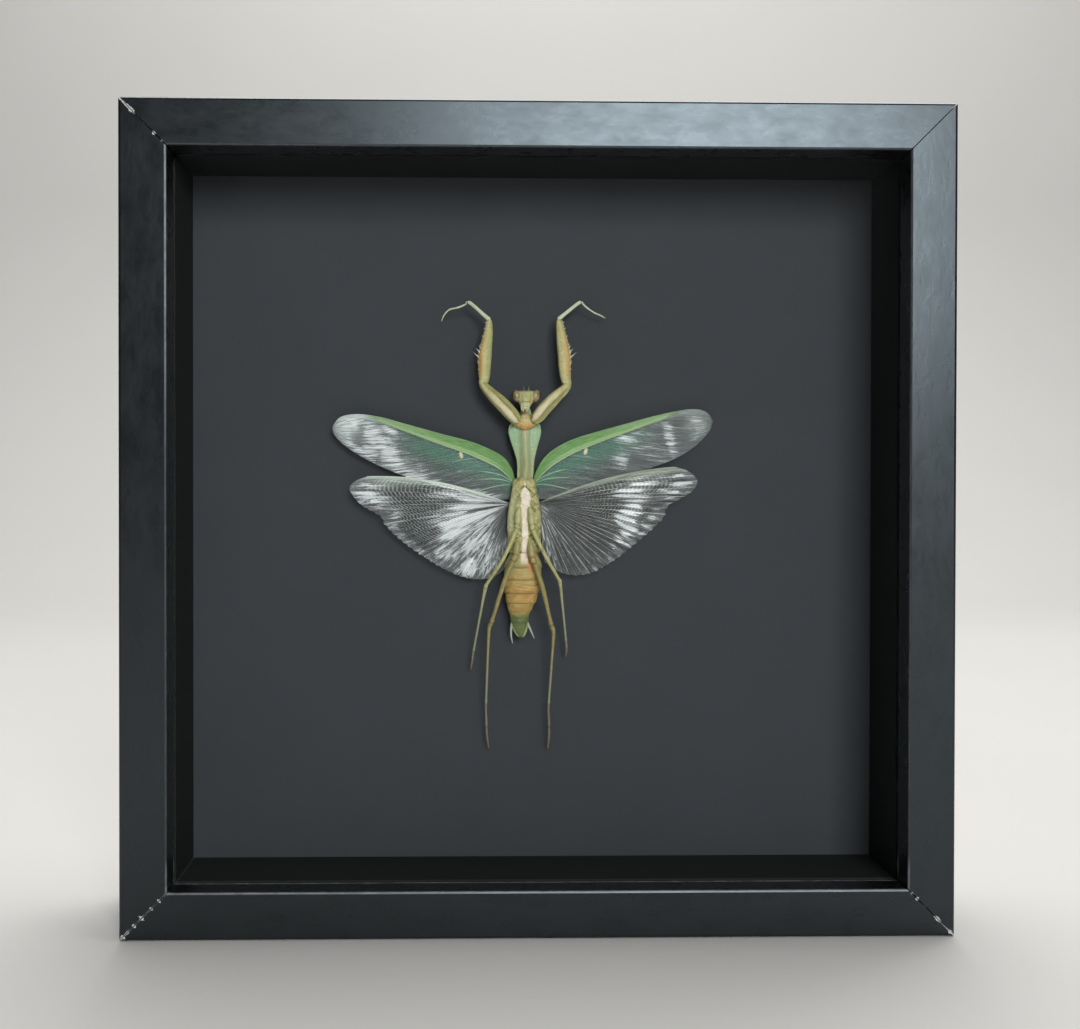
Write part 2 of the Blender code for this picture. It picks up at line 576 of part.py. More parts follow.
def hindwing_shape(root, margin):
    """A closed fan from the root to the margin; its rays rise and fall as pleats"""
    rays, rings = 33, 6
    root = np.array(root)
    rim = along(smooth_line(margin, 6), rays)
    reach = np.linspace(0.0, 1.0, rings + 1)[1:, None, None]
    flat = root + (rim - root) * reach
    share = np.linspace(0.0, 1.0, rays)[None, :]
    bow = FRONT_BOW * np.clip(1 - share / BOW_FADE, 0, 1) * (4 * reach[..., 0] * (1 - reach[..., 0]))
    x, z = flat[..., 0], flat[..., 1] + bow
    pleat = np.where(np.arange(rays) % 2 == 0, 1.0, -1.0) * PLEAT_HEIGHT * reach[..., 0]
    h = wing_h(x, HINDWING_H) + pleat * np.clip(share / BOW_FADE, 0.15, 1)
    half = HINDWING_THICKNESS / 2
    outer, inner = place(x, z, h + half)[::-1], place(x, z, h - half)[::-1]
    tip = place(root[0], root[1], wing_h(root[0], HINDWING_H))
    return plate(outer, inner, tip)


def make_specimen():
    skin_green = finish("pale green cuticle", (0.42, 0.52, 0.25), 0.5)
    skin_tan = finish("yellow tan cuticle", (0.52, 0.43, 0.17), 0.5)
    membrane = finish("clear wing membrane", (0.55, 0.62, 0.60), 0.3, alpha=0.6)
    wing_green = finish("green wing", (0.22, 0.42, 0.16), 0.4, alpha=0.8)
    make_head(skin_tan)
    make_prothorax(skin_green)
    make_thorax(skin_tan)
    make_abdomen(skin_tan)
    make_foreleg("foreleg_left", FORELEG_LEFT, -1, skin_tan)
    make_foreleg("foreleg_right", FORELEG_RIGHT, 1, skin_tan)
    for name, stations in WALKING_LEGS.items():
        add_object(name, *skin(limb_rings(stations, 8)), skin_green, 60.0)
    for name, edges in FOREWINGS.items():
        add_object(name, *forewing_shape(edges["front"], edges["rear"]), wing_green)
    for name, fan in HINDWINGS.items():
        add_object(name, *hindwing_shape(fan["root"], fan["margin"]), membrane, 10.0)


def make_glue(material):
    """The dab of glue under the thorax that fixes the specimen to the card"""
    rows = [(4.6, 1.0), (3.2, 2.2), (0.4, 3.0), (-2.6, 3.0), (-5.4, 2.2), (-6.8, 1.0)]
    low, high = CLEARANCE / MM, 2.6
    middle, half = (low + high) / 2, (high - low) / 2
    rings = body_rings([(z, -3.4, width, middle, half, half) for z, width in rows], 12)
    add_object("glue_dab", *skin(rings), material)


def main():
    clear_scene()
    foil = finish("black foil wrapped wood", (0.018, 0.019, 0.021), 0.35)
    make_frame(foil)
    pane = finish("clear glass", (0.95, 0.97, 0.97), 0.02, alpha=0.15)
    make_sheet("glass_pane", LIP + CLEARANCE, GLASS_THICKNESS, pane)
    liner = finish("black liner", (0.010, 0.010, 0.011), 0.5)
    for side in SIDES:
        mitred_bar("liner_" + side, liner_profile(), side, liner)
    card = finish("dark grey card", (0.030, 0.033, 0.040), 0.9)
    make_sheet("backing_card", CARD_DEPTH, CARD_THICKNESS, card)
    board = finish("brown hardboard", (0.20, 0.11, 0.055), 0.7)
    make_sheet("back_panel", CARD_DEPTH + CARD_THICKNESS + CLEARANCE, PANEL_THICKNESS, board)
    steel = finish("zinc plated steel", (0.55, 0.56, 0.57), 0.35, 1.0)
    make_tabs(steel)
    make_hanger(steel)
    make_glue(finish("clear dried glue", (0.70, 0.68, 0.58), 0.3))
    make_specimen()


main()
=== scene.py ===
"""A large dried mantis with spread wings, mounted belly outwards in a square black box frame.

The rails, glass, liner, card, back and fittings keep their solids and get their finishes here. The
specimen's own solids are replaced by fine surfaces of the same size in the same places. Places on
the specimen are in millimetres as (x, z, h): x and z from the middle of the card, h forwards from
its face.
"""
import math

import bmesh
import bpy
import numpy as np
from bpy.props import FloatProperty, FloatVectorProperty, IntProperty, PointerProperty
from mathutils import Euler, Matrix, Vector


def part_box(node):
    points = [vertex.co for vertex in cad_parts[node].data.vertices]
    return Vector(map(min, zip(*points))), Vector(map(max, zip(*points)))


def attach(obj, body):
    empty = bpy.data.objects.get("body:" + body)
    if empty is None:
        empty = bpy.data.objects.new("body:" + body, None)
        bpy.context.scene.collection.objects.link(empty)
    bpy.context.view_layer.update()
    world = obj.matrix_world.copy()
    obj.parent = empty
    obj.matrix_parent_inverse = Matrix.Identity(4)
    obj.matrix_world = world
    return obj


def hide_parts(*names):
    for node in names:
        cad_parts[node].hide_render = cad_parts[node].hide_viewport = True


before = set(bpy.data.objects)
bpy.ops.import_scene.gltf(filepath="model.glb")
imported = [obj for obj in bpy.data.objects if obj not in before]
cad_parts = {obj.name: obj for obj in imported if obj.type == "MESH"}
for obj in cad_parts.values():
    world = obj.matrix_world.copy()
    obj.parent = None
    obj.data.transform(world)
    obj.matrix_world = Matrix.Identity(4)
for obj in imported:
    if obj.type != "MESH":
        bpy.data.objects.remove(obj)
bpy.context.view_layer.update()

bl_info = {
    "name": "Framed mantis specimen",
    "version": (1, 0, 0),
    "blender": (4, 5, 0),
    "location": "View3D > Sidebar > Specimen",
    "description": "Finishes a box frame and models the dried mantis inside it",
    "category": "Object",
}

MM = 0.001
CARD_LOW, CARD_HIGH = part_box("backing_card")
CARD_FACE = CARD_LOW.y
MIDDLE_Z = (CARD_LOW.z + CARD_HIGH.z) / 2
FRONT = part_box("rail_top")[0].y
LIP_DEPTH = 0.0092
SIDES = ("bottom", "left", "top", "right")
OUTER_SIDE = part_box("rail_right")[1].x
INNER_SIDE = -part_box("liner_left")[1].x

# Camera, fitted to the frame's corners; focal length and shift in pixels of a 1080 x 1029 picture
PICTURE_WIDTH = 1080
FOCAL_PIXELS = 1255.3
MIDDLE_SHIFT = (-46.7, -9.3)
CAMERA_PLACE = (-0.02185, -0.39577, 0.13299)
CAMERA_TURN = (0.5384, 0.0665, 1.2043)
SENSOR = 36.0

# Wings, as in the solids: the outline's front and rear edges, and the fan's root and margin. Silver patches
# of painted sheen, standing in for light reflected by the crumpled membrane, and dark patches that take that
# painted sheen away, are (u, v, half u, half v, slant, strength); frost, bars, bow and band set how much of
# each.
WING_ROOT_X = -3.5
WING_RISE = 1.5
WING_REACH = 60.0
FOREWING_H = 3.3
HINDWING_H = 4.3
FOREWINGS = {
    "forewing_left": {
        "seed": 11,
        "front": [(-6.4, 13.2), (-7.6, 16.5), (-10.9, 20.4), (-19.6, 24.4), (-30.4, 27.3), (-41.6, 30.4),
                  (-49.9, 32.6), (-57.1, 33.5), (-62.6, 32.5), (-65.2, 29.4)],
        "rear": [(-7.4, 6.2), (-14.0, 5.9), (-21.8, 7.2), (-31.7, 9.8), (-43.3, 14.0), (-50.2, 16.9),
                 (-57.6, 20.8), (-62.8, 24.7), (-64.9, 27.4), (-65.2, 29.4)],
        "painted_sheen": [(0.72, 0.50, 0.125, 0.62, -0.36, 0.84), (0.47, 0.93, 0.13, 0.10, 0.0, 0.84),
                   (0.16, 0.93, 0.12, 0.10, 0.0, 0.75), (0.36, 0.60, 0.50, 0.60, 0.0, 0.17),
                   (0.80, 0.88, 0.12, 0.16, 0.0, 0.72), (0.90, 0.45, 0.06, 0.40, 0.0, 0.62),
                   (0.69, 0.22, 0.065, 0.16, 0.0, 0.88), (0.80, 0.12, 0.11, 0.11, 0.0, 0.85),
                   (0.75, 0.76, 0.07, 0.17, 0.0, 0.80), (0.60, 0.50, 0.10, 0.55, -0.36, 0.50)],
        "dark": [(0.825, 0.52, 0.022, 0.24, 0.05, 0.60), (0.44, 0.50, 0.11, 0.24, -0.4, 0.75)],
        "frost": 1.0,
    },
    "forewing_right": {
        "seed": 12,
        "front": [(-0.2, 13.4), (2.2, 18.3), (6.1, 22.2), (12.6, 25.6), (21.3, 28.3), (30.0, 30.7),
                  (38.7, 33.1), (49.6, 35.3), (55.2, 34.7), (57.9, 31.7)],
        "rear": [(0.6, 6.4), (7.0, 6.2), (12.5, 7.2), (19.6, 9.5), (27.0, 12.6), (34.5, 15.2),
                 (45.3, 19.2), (51.8, 23.2), (56.6, 28.2), (57.9, 31.7)],
        "painted_sheen": [(0.52, 0.24, 0.075, 0.13, 0.35, 0.72), (0.47, 0.66, 0.050, 0.24, 0.0, 0.60),
                   (0.718, 0.50, 0.036, 0.52, 0.03, 0.74), (0.875, 0.50, 0.050, 0.45, 0.05, 0.50),
                   (0.60, 0.55, 0.11, 0.50, 0.20, 0.44), (0.30, 0.98, 0.30, 0.06, 0.0, 0.45),
                   (0.80, 0.50, 0.12, 0.50, 0.10, 0.40), (0.30, 0.60, 0.30, 0.40, 0.0, 0.12),
                   (0.62, 0.16, 0.14, 0.10, 0.0, 0.52)],
        "dark": [(0.79, 0.50, 0.03, 0.60, 0.05, 0.5)],
        "frost": 0.45,
    },
}
HINDWINGS = {
    "hindwing_left": {
        "seed": 21,
        "root": (-7.6, 4.6),
        "margin": [(-53.6, 13.5), (-57.9, 11.8), (-59.5, 9.0), (-56.2, 4.4), (-51.9, 1.8), (-49.6, 0.2),
                   (-48.6, -2.0), (-45.4, -5.4), (-39.0, -10.5), (-30.3, -16.0), (-23.9, -18.9),
                   (-18.2, -19.9), (-13.4, -19.2), (-9.6, -16.6)],
        "painted_sheen": [(0.03, 0.38, 0.045, 0.42, 0.0, 0.92), (0.12, 0.24, 0.10, 0.26, 0.0, 0.80),
                   (0.275, 0.27, 0.050, 0.27, 0.0, 1.20), (0.15, 0.90, 0.10, 0.12, 0.0, 0.72),
                   (0.46, 0.36, 0.100, 0.36, 0.0, 1.15), (0.54, 0.60, 0.060, 0.18, 0.0, 1.05),
                   (0.63, 0.38, 0.10, 0.32, 0.0, 0.78), (0.73, 0.58, 0.12, 0.32, 0.0, 0.82),
                   (0.34, 0.48, 0.045, 0.18, 0.0, 0.90), (0.64, 0.80, 0.09, 0.16, 0.0, 0.72),
                   (0.87, 0.72, 0.10, 0.28, 0.0, 0.76), (0.28, 0.91, 0.10, 0.09, 0.0, 0.64),
                   (0.97, 0.64, 0.04, 0.18, 0.0, 0.60), (0.50, 0.96, 0.60, 0.06, 0.0, 0.50),
                   (0.79, 0.88, 0.06, 0.14, 0.0, 0.92)],
        "dark": [(0.20, 0.62, 0.115, 0.145, 0.0, 0.9), (0.43, 0.78, 0.09, 0.085, 0.0, 0.8),
                 (0.37, 0.15, 0.03, 0.12, 0.0, 0.7), (0.90, 0.24, 0.07, 0.18, 0.0, 0.9)],
        "bow": 2.6,
        "band": 0.044,
        "bars": 0.25,
        "frost": 1.0,
    },
    "hindwing_right": {
        "seed": 22,
        "root": (1.0, 4.8),
        "margin": [(45.3, 16.7), (49.8, 15.2), (52.6, 12.2), (51.2, 9.0), (47.3, 6.3), (43.3, 3.9),
                   (41.9, 0.2), (37.7, -4.1), (32.1, -8.9), (26.5, -13.3), (19.6, -17.4), (13.9, -18.6),
                   (8.4, -17.6), (3.4, -14.4)],
        "painted_sheen": [(0.17, 0.63, 0.12, 0.13, 0.3, 0.96), (0.41, 0.77, 0.100, 0.15, 0.85, 1.20),
                   (0.17, 0.90, 0.14, 0.12, 0.0, 0.66), (0.05, 0.75, 0.07, 0.35, 0.0, 0.62),
                   (0.46, 0.94, 0.30, 0.06, 0.0, 0.58), (0.94, 0.52, 0.07, 0.42, 0.0, 0.66),
                   (0.80, 0.62, 0.10, 0.34, 0.0, 0.24), (0.04, 0.30, 0.05, 0.30, 0.0, 0.40),
                   (0.85, 0.24, 0.08, 0.20, 0.0, 0.62), (0.70, 0.08, 0.26, 0.08, 0.0, 0.66)],
        "dark": [(0.24, 0.34, 0.11, 0.16, 0.0, 0.8)],
        "bow": 2.2,
        "band": 0.060,
        "bars": 0.85,
        "frost": 0.55,
    },
}
BOW_FADE = 0.28
PLEAT_COUNT = 16

# Legs, as in the solids: stations of (x, z, h, half width, half depth)
FORELEGS = {
    "foreleg_left": [
        (-5.2, 30.6, 8.8, 0.5, 0.4), (-5.5, 30.9, 8.8, 1.3, 1.0), (-6.6, 32.0, 8.8, 1.95, 1.5),
        (-9.0, 34.7, 8.7, 2.25, 1.8), (-12.6, 38.3, 8.4, 2.1, 1.7), (-15.6, 41.4, 8.1, 1.55, 1.3),
        (-16.9, 43.2, 7.9, 1.3, 1.1), (-16.4, 44.6, 7.8, 1.65, 1.3), (-16.3, 48.0, 7.7, 1.9, 1.4),
        (-16.2, 51.8, 7.6, 2.1, 1.5), (-15.7, 55.5, 7.5, 1.8, 1.35), (-15.1, 59.3, 7.3, 1.45, 1.1),
        (-14.8, 62.3, 7.1, 1.05, 0.85), (-14.7, 63.6, 7.0, 0.75, 0.65), (-15.5, 64.4, 6.9, 0.62, 0.55),
        (-17.6, 66.3, 6.7, 0.55, 0.5), (-19.8, 68.3, 6.5, 0.5, 0.45), (-21.1, 69.3, 6.3, 0.5, 0.45),
        (-21.9, 69.4, 6.2, 0.4, 0.4), (-22.6, 68.7, 6.0, 0.3, 0.3), (-24.8, 67.8, 5.6, 0.28, 0.28),
        (-27.3, 67.3, 5.0, 0.25, 0.25), (-28.6, 66.4, 4.5, 0.25, 0.25), (-29.6, 65.0, 4.0, 0.22, 0.22),
        (-30.1, 63.7, 3.4, 0.14, 0.14)],
    "foreleg_right": [
        (-1.0, 30.8, 8.8, 0.5, 0.4), (-0.7, 31.1, 8.8, 1.3, 1.0), (0.5, 32.3, 8.8, 1.95, 1.5),
        (2.6, 35.0, 8.7, 2.15, 1.8), (5.8, 38.4, 8.4, 2.05, 1.7), (9.0, 41.2, 8.1, 1.6, 1.3),
        (10.4, 43.0, 7.9, 1.3, 1.1), (9.9, 44.5, 7.8, 1.6, 1.3), (9.5, 48.0, 7.7, 1.85, 1.4),
        (9.4, 51.8, 7.6, 2.05, 1.5), (8.9, 55.6, 7.5, 1.85, 1.35), (8.3, 59.4, 7.3, 1.45, 1.1),
        (7.9, 62.4, 7.1, 1.1, 0.85), (7.6, 63.8, 7.0, 0.75, 0.65), (8.3, 64.7, 6.9, 0.62, 0.55),
        (10.5, 66.5, 6.7, 0.55, 0.5), (12.9, 68.5, 6.5, 0.5, 0.45), (14.3, 69.5, 6.3, 0.5, 0.45),
        (15.1, 69.5, 6.2, 0.4, 0.4), (15.9, 68.6, 6.0, 0.3, 0.3), (17.2, 67.6, 5.6, 0.28, 0.28),
        (19.4, 66.3, 5.0, 0.25, 0.25), (20.9, 65.8, 4.5, 0.25, 0.25), (22.0, 65.3, 4.0, 0.22, 0.22),
        (22.9, 64.9, 3.4, 0.14, 0.14)],
}
MIDLEGS = {
    "midleg_left": [
        (-5.1, 3.8, 10.7, 0.3), (-5.2, 3.2, 10.9, 0.7), (-5.6, 1.2, 11.2, 1.1), (-5.7, -1.9, 11.4, 1.0),
        (-6.5, -4.4, 11.5, 0.85), (-10.3, -12.9, 11.0, 0.7), (-15.2, -20.6, 9.4, 0.58),
        (-15.9, -22.3, 9.1, 0.6), (-17.4, -30.2, 7.7, 0.42), (-19.7, -43.2, 5.0, 0.36),
        (-20.0, -45.6, 4.3, 0.34), (-20.3, -47.6, 3.6, 0.32), (-20.5, -49.2, 3.0, 0.16)],
    "midleg_right": [
        (-1.9, 3.8, 10.7, 0.3), (-1.8, 3.2, 10.9, 0.7), (-1.4, 1.0, 11.2, 1.1), (-1.2, -1.9, 11.4, 1.0),
        (-0.3, -4.8, 11.5, 0.85), (3.4, -12.3, 11.0, 0.7), (7.3, -19.0, 9.4, 0.58), (8.0, -20.6, 9.1, 0.6),
        (8.9, -28.0, 7.7, 0.42), (10.3, -39.9, 5.0, 0.36), (10.5, -41.8, 4.3, 0.34),
        (10.5, -43.5, 3.6, 0.32), (10.3, -45.0, 3.0, 0.16)],
}
HINDLEGS = {
    "hindleg_left": [
        (-5.5, -6.8, 10.8, 0.3), (-5.6, -7.4, 11.0, 0.7), (-5.9, -9.2, 11.2, 1.1), (-6.3, -11.7, 11.4, 1.0),
        (-7.6, -14.6, 11.4, 0.95), (-10.2, -21.0, 10.9, 0.9), (-12.9, -30.0, 9.2, 0.68),
        (-14.0, -33.4, 8.6, 0.72), (-14.7, -35.8, 8.2, 0.62), (-15.1, -44.5, 7.0, 0.47),
        (-15.6, -60.3, 5.0, 0.38), (-15.5, -64.5, 4.5, 0.36), (-15.4, -68.5, 4.1, 0.36),
        (-15.1, -72.0, 3.6, 0.34), (-14.7, -74.6, 3.0, 0.17)],
    "hindleg_right": [
        (-1.7, -7.0, 10.8, 0.3), (-1.7, -7.6, 11.0, 0.7), (-1.5, -9.6, 11.2, 1.1), (-1.1, -12.2, 11.4, 1.0),
        (0.2, -15.6, 11.4, 0.95), (2.4, -22.4, 10.9, 0.9), (4.3, -30.2, 9.2, 0.68), (5.3, -34.4, 8.6, 0.72),
        (6.0, -36.8, 8.2, 0.62), (5.6, -45.0, 7.0, 0.47), (4.7, -60.4, 5.0, 0.38), (4.8, -64.6, 4.5, 0.36),
        (4.9, -68.5, 4.1, 0.36), (4.8, -72.0, 3.6, 0.34), (4.5, -74.9, 3.0, 0.17)],
}


class Number:
    """A number that varies over a surface; arithmetic on it adds Math nodes to its finish"""

    def __init__(self, finish, socket):
        self.finish = finish
        self.socket = socket

    def math(self, operation, *others):
        sockets = dict(enumerate((self, *others)))
        return self.finish.number(0, "ShaderNodeMath", {"operation": operation}, sockets)

    def __add__(self, other):
        return self.math("ADD", other)

    __radd__ = __add__

    def __sub__(self, other):
        return self.math("SUBTRACT", other)

    def __rsub__(self, other):
        return self * -1.0 + other

    def __mul__(self, other):
        return self.math("MULTIPLY", other)

    __rmul__ = __mul__

    def __truediv__(self, other):
        return self.math("DIVIDE", other)

    def size(self):
        return self.math("ABSOLUTE")

    def sine(self):
        return self.math("SINE")

    def least(self, other):
        return self.math("MINIMUM", other)

    def most(self, other):
        return self.math("MAXIMUM", other)

    def rise(self, low, high):
        """0 below low, 1 above high and a smooth step between; falls where low is the larger"""
        settings = {"interpolation_type": "SMOOTHSTEP", "clamp": True}
        sockets = {"Value": self, "From Min": low, "From Max": high}
        return self.finish.number("Result", "ShaderNodeMapRange", settings, sockets)


class Finish:
    """One material: a Principled shader with plain values, and the nodes that feed it"""

    def __init__(self, name, **plain):
        self.material = bpy.data.materials.new(name)
        self.material.use_nodes = True
        self.tree = self.material.node_tree
        self.shader = self.tree.nodes["Principled BSDF"]
        for word, value in plain.items():
            self.shader.inputs[word.replace("_", " ")].default_value = value

    def node(self, kind, settings=None, sockets=None):
        """A node of the kind: its settings first, then the values or links of its sockets"""
        made = self.tree.nodes.new(kind)
        for word, value in (settings or {}).items():
            setattr(made, word, value)
        for key, value in (sockets or {}).items():
            value = getattr(value, "socket", value)
            if isinstance(value, bpy.types.NodeSocket):
                self.tree.links.new(value, made.inputs[key])
            else:
                made.inputs[key].default_value = value
        return made

    def number(self, output, kind, settings=None, sockets=None):
        """One output of a new node, as a number"""
        return Number(self, self.node(kind, settings, sockets).outputs[output])

    def feed(self, word, value):
        self.tree.links.new(getattr(value, "socket", value), self.shader.inputs[word])

    def place(self):
        """The piece's own coordinates in metres"""
        return self.node("ShaderNodeTexCoord").outputs["Object"]

    def parts(self, vector):
        """A vector's three numbers"""
        split = self.node("ShaderNodeSeparateXYZ", None, {0: vector})
        return [Number(self, output) for output in split.outputs]

    def pattern(self):
        """The piece's own pattern coordinates, as two numbers"""
        return self.parts(self.node("ShaderNodeUVMap").outputs["UV"])[:2]

    def vector(self, x, y, z=0.0):
        return self.node("ShaderNodeCombineXYZ", None, {0: x, 1: y, 2: z}).outputs[0]

    def stretched(self, vector, scale):
        """A vector or colour times another, part by part"""
        sockets = {0: vector, 1: scale}
        return self.node("ShaderNodeVectorMath", {"operation": "MULTIPLY"}, sockets).outputs[0]

    def values(self, *names):
        """Values that the mesh holds at each point"""
        return [self.number("Fac", "ShaderNodeAttribute", {"attribute_name": name}) for name in names]

    def noise(self, vector, scale, detail=3.0, roughness=0.55, distortion=0.0):
        sockets = {"Vector": vector, "Scale": scale, "Detail": detail, "Roughness": roughness}
        sockets["Distortion"] = distortion
        return self.number("Fac", "ShaderNodeTexNoise", None, sockets)

    def cells(self, vector, scale, feature="F1"):
        sockets = {"Vector": vector, "Scale": scale}
        return self.number("Distance", "ShaderNodeTexVoronoi", {"feature": feature}, sockets)

    def mix(self, share, first, second):
        """First colour where the share is 0, second where it is 1"""
        sockets = {"Factor": share, 6: whole(first), 7: whole(second)}
        return self.node("ShaderNodeMix", {"data_type": "RGBA"}, sockets).outputs[2]

    def layers(self, tone, *coats):
        """The tone under coats of (share, colour), the last on top"""
        for share, colour in coats:
            tone = self.mix(share, tone, colour)
        return tone

    def shade(self, colour, strength):
        """The colour made lighter or darker by a number"""
        plain = colour if isinstance(colour, bpy.types.NodeSocket) else tuple(colour)[:3]
        return self.stretched(plain, self.vector(strength, strength, strength))

    def profile(self, value, stops, top=1.3):
        """A number read from stops of (place, number up to the top), joined smoothly"""
        made = self.node("ShaderNodeValToRGB", None, {"Fac": value})
        ramp = made.color_ramp
        ramp.interpolation = "EASE"
        for number, (at, level) in enumerate(stops):
            stop = ramp.elements[number] if number < 2 else ramp.elements.new(at)
            stop.position = at
            stop.color = (level / top, level / top, level / top, 1.0)
        return Number(self, made.outputs["Color"]) * top

    def complete(self, tone, roughness, height, distance, strength=1.0):
        """Feeds the colour, the roughness and a bump of the height, and gives back the finish"""
        self.feed("Base Color", tone)
        self.feed("Roughness", roughness)
        sockets = {"Height": height, "Distance": distance, "Strength": strength}
        self.feed("Normal", self.node("ShaderNodeBump", None, sockets).outputs["Normal"])
        return self


def whole(colour):
    """A colour with its fourth value, where it is plain"""
    return colour if isinstance(colour, bpy.types.NodeSocket) else (*tuple(colour)[:3], 1.0)


def smooth_line(points, steps=16):
    """A Catmull-Rom curve.

    Between b and c it is half of 2b + (c - a)t + (2a - 5b + 4c - d)t2 + (3b - a - 3c + d)t3.
    """
    knots = np.array(points, float)
    padded = np.vstack([2 * knots[0] - knots[1], knots, 2 * knots[-1] - knots[-2]])
    a, b, c, d = (padded[k:len(padded) - 3 + k, None] for k in range(4))
    t = (np.arange(steps) / steps)[None, :, None]
    line = 0.5 * (2 * b + (c - a) * t + (2 * a - 5 * b + 4 * c - d) * t**2 + (3 * b - a - 3 * c + d) * t**3)
    return np.vstack([line.reshape(-1, knots.shape[1]), knots[-1]])


def along(line, shares):
    """The line read at shares of its length, by straight steps between its points"""
    lengths = np.r_[0.0, np.cumsum(np.linalg.norm(np.diff(line[:, :3], axis=0), axis=1))]
    wanted = np.asarray(shares) * lengths[-1]
    return np.stack([np.interp(wanted, lengths, line[:, k]) for k in range(line.shape[1])], -1)


def even(count):
    return np.linspace(0.0, 1.0, count)


def rounded(count):
    """Shares from 0 to 1, closer together at both ends: half of 1 - cos(pi t)"""
    return (1 - np.cos(math.pi * even(count))) / 2


def angles_of(sides):
    """Angles once around a ring, in one row"""
    return np.linspace(0, 2 * math.pi, sides, endpoint=False)[None]


def step(x, low, high):
    """0 below low, 1 above high and 3t2 - 2t3 between"""
    t = np.clip((np.asarray(x, float) - low) / (high - low), 0, 1)
    return t * t * (3 - 2 * t)


def unit(vectors):
    """Vectors brought to length 1"""
    return vectors / np.linalg.norm(vectors, axis=-1, keepdims=True)


def hump(x, middle, half):
    """A bell: e to the minus square of the distance from the middle over the half width"""
    return np.exp(-(((x - middle) / half) ** 2))


def undulation(u, v, cells_u, cells_v, seed):
    """Smooth relief from -1 to 1: seeded heights at a net's corners, blended over each cell by 3t2 - 2t3.

    The first and last columns of the net are alike, so the relief closes around a tube.
    """
    heights = np.random.default_rng(seed).uniform(-1.0, 1.0, (cells_u + 2, cells_v + 2))
    heights[:, cells_v] = heights[:, 0]
    a, b = np.clip(u, 0, 1) * cells_u, np.clip(v, 0, 1) * cells_v
    i, j = a.astype(int), b.astype(int)
    s, t = step(a - i, 0, 1), step(b - j, 0, 1)
    near = heights[i, j] * (1 - s) + heights[i + 1, j] * s
    far = heights[i, j + 1] * (1 - s) + heights[i + 1, j + 1] * s
    return near * (1 - t) + far * t


def lumps_on(rows, angles, cells_u, cells_v, seed):
    """An undulation down and around a tube of rings"""
    return undulation(even(rows)[:, None], angles / (2 * math.pi), cells_u, cells_v, seed)


def patches(u, v, places):
    """The strongest of several soft patches (u, v, half u, half v, slant, strength).

    Each is its strength times e to the minus 2.6th powers of both distances over 1.1 half widths,
    after u has moved by the slant times the distance in v.
    """
    total = np.zeros(np.broadcast(u, v).shape)
    for u0, v0, half_u, half_v, slant, strength in places:
        across = np.abs(u - slant * (v - v0) - u0) / half_u / 1.1
        total = np.maximum(total, strength * np.exp(-(across**2.6) - (np.abs(v - v0) / half_v / 1.1) ** 2.6))
    return total


def place(x, z, h):
    """A place on the specimen, millimetres, as a point in metres"""
    x, z, h = np.broadcast_arrays(x, z, h)
    return np.stack([x * MM, CARD_FACE - h * MM, MIDDLE_Z + z * MM], -1)


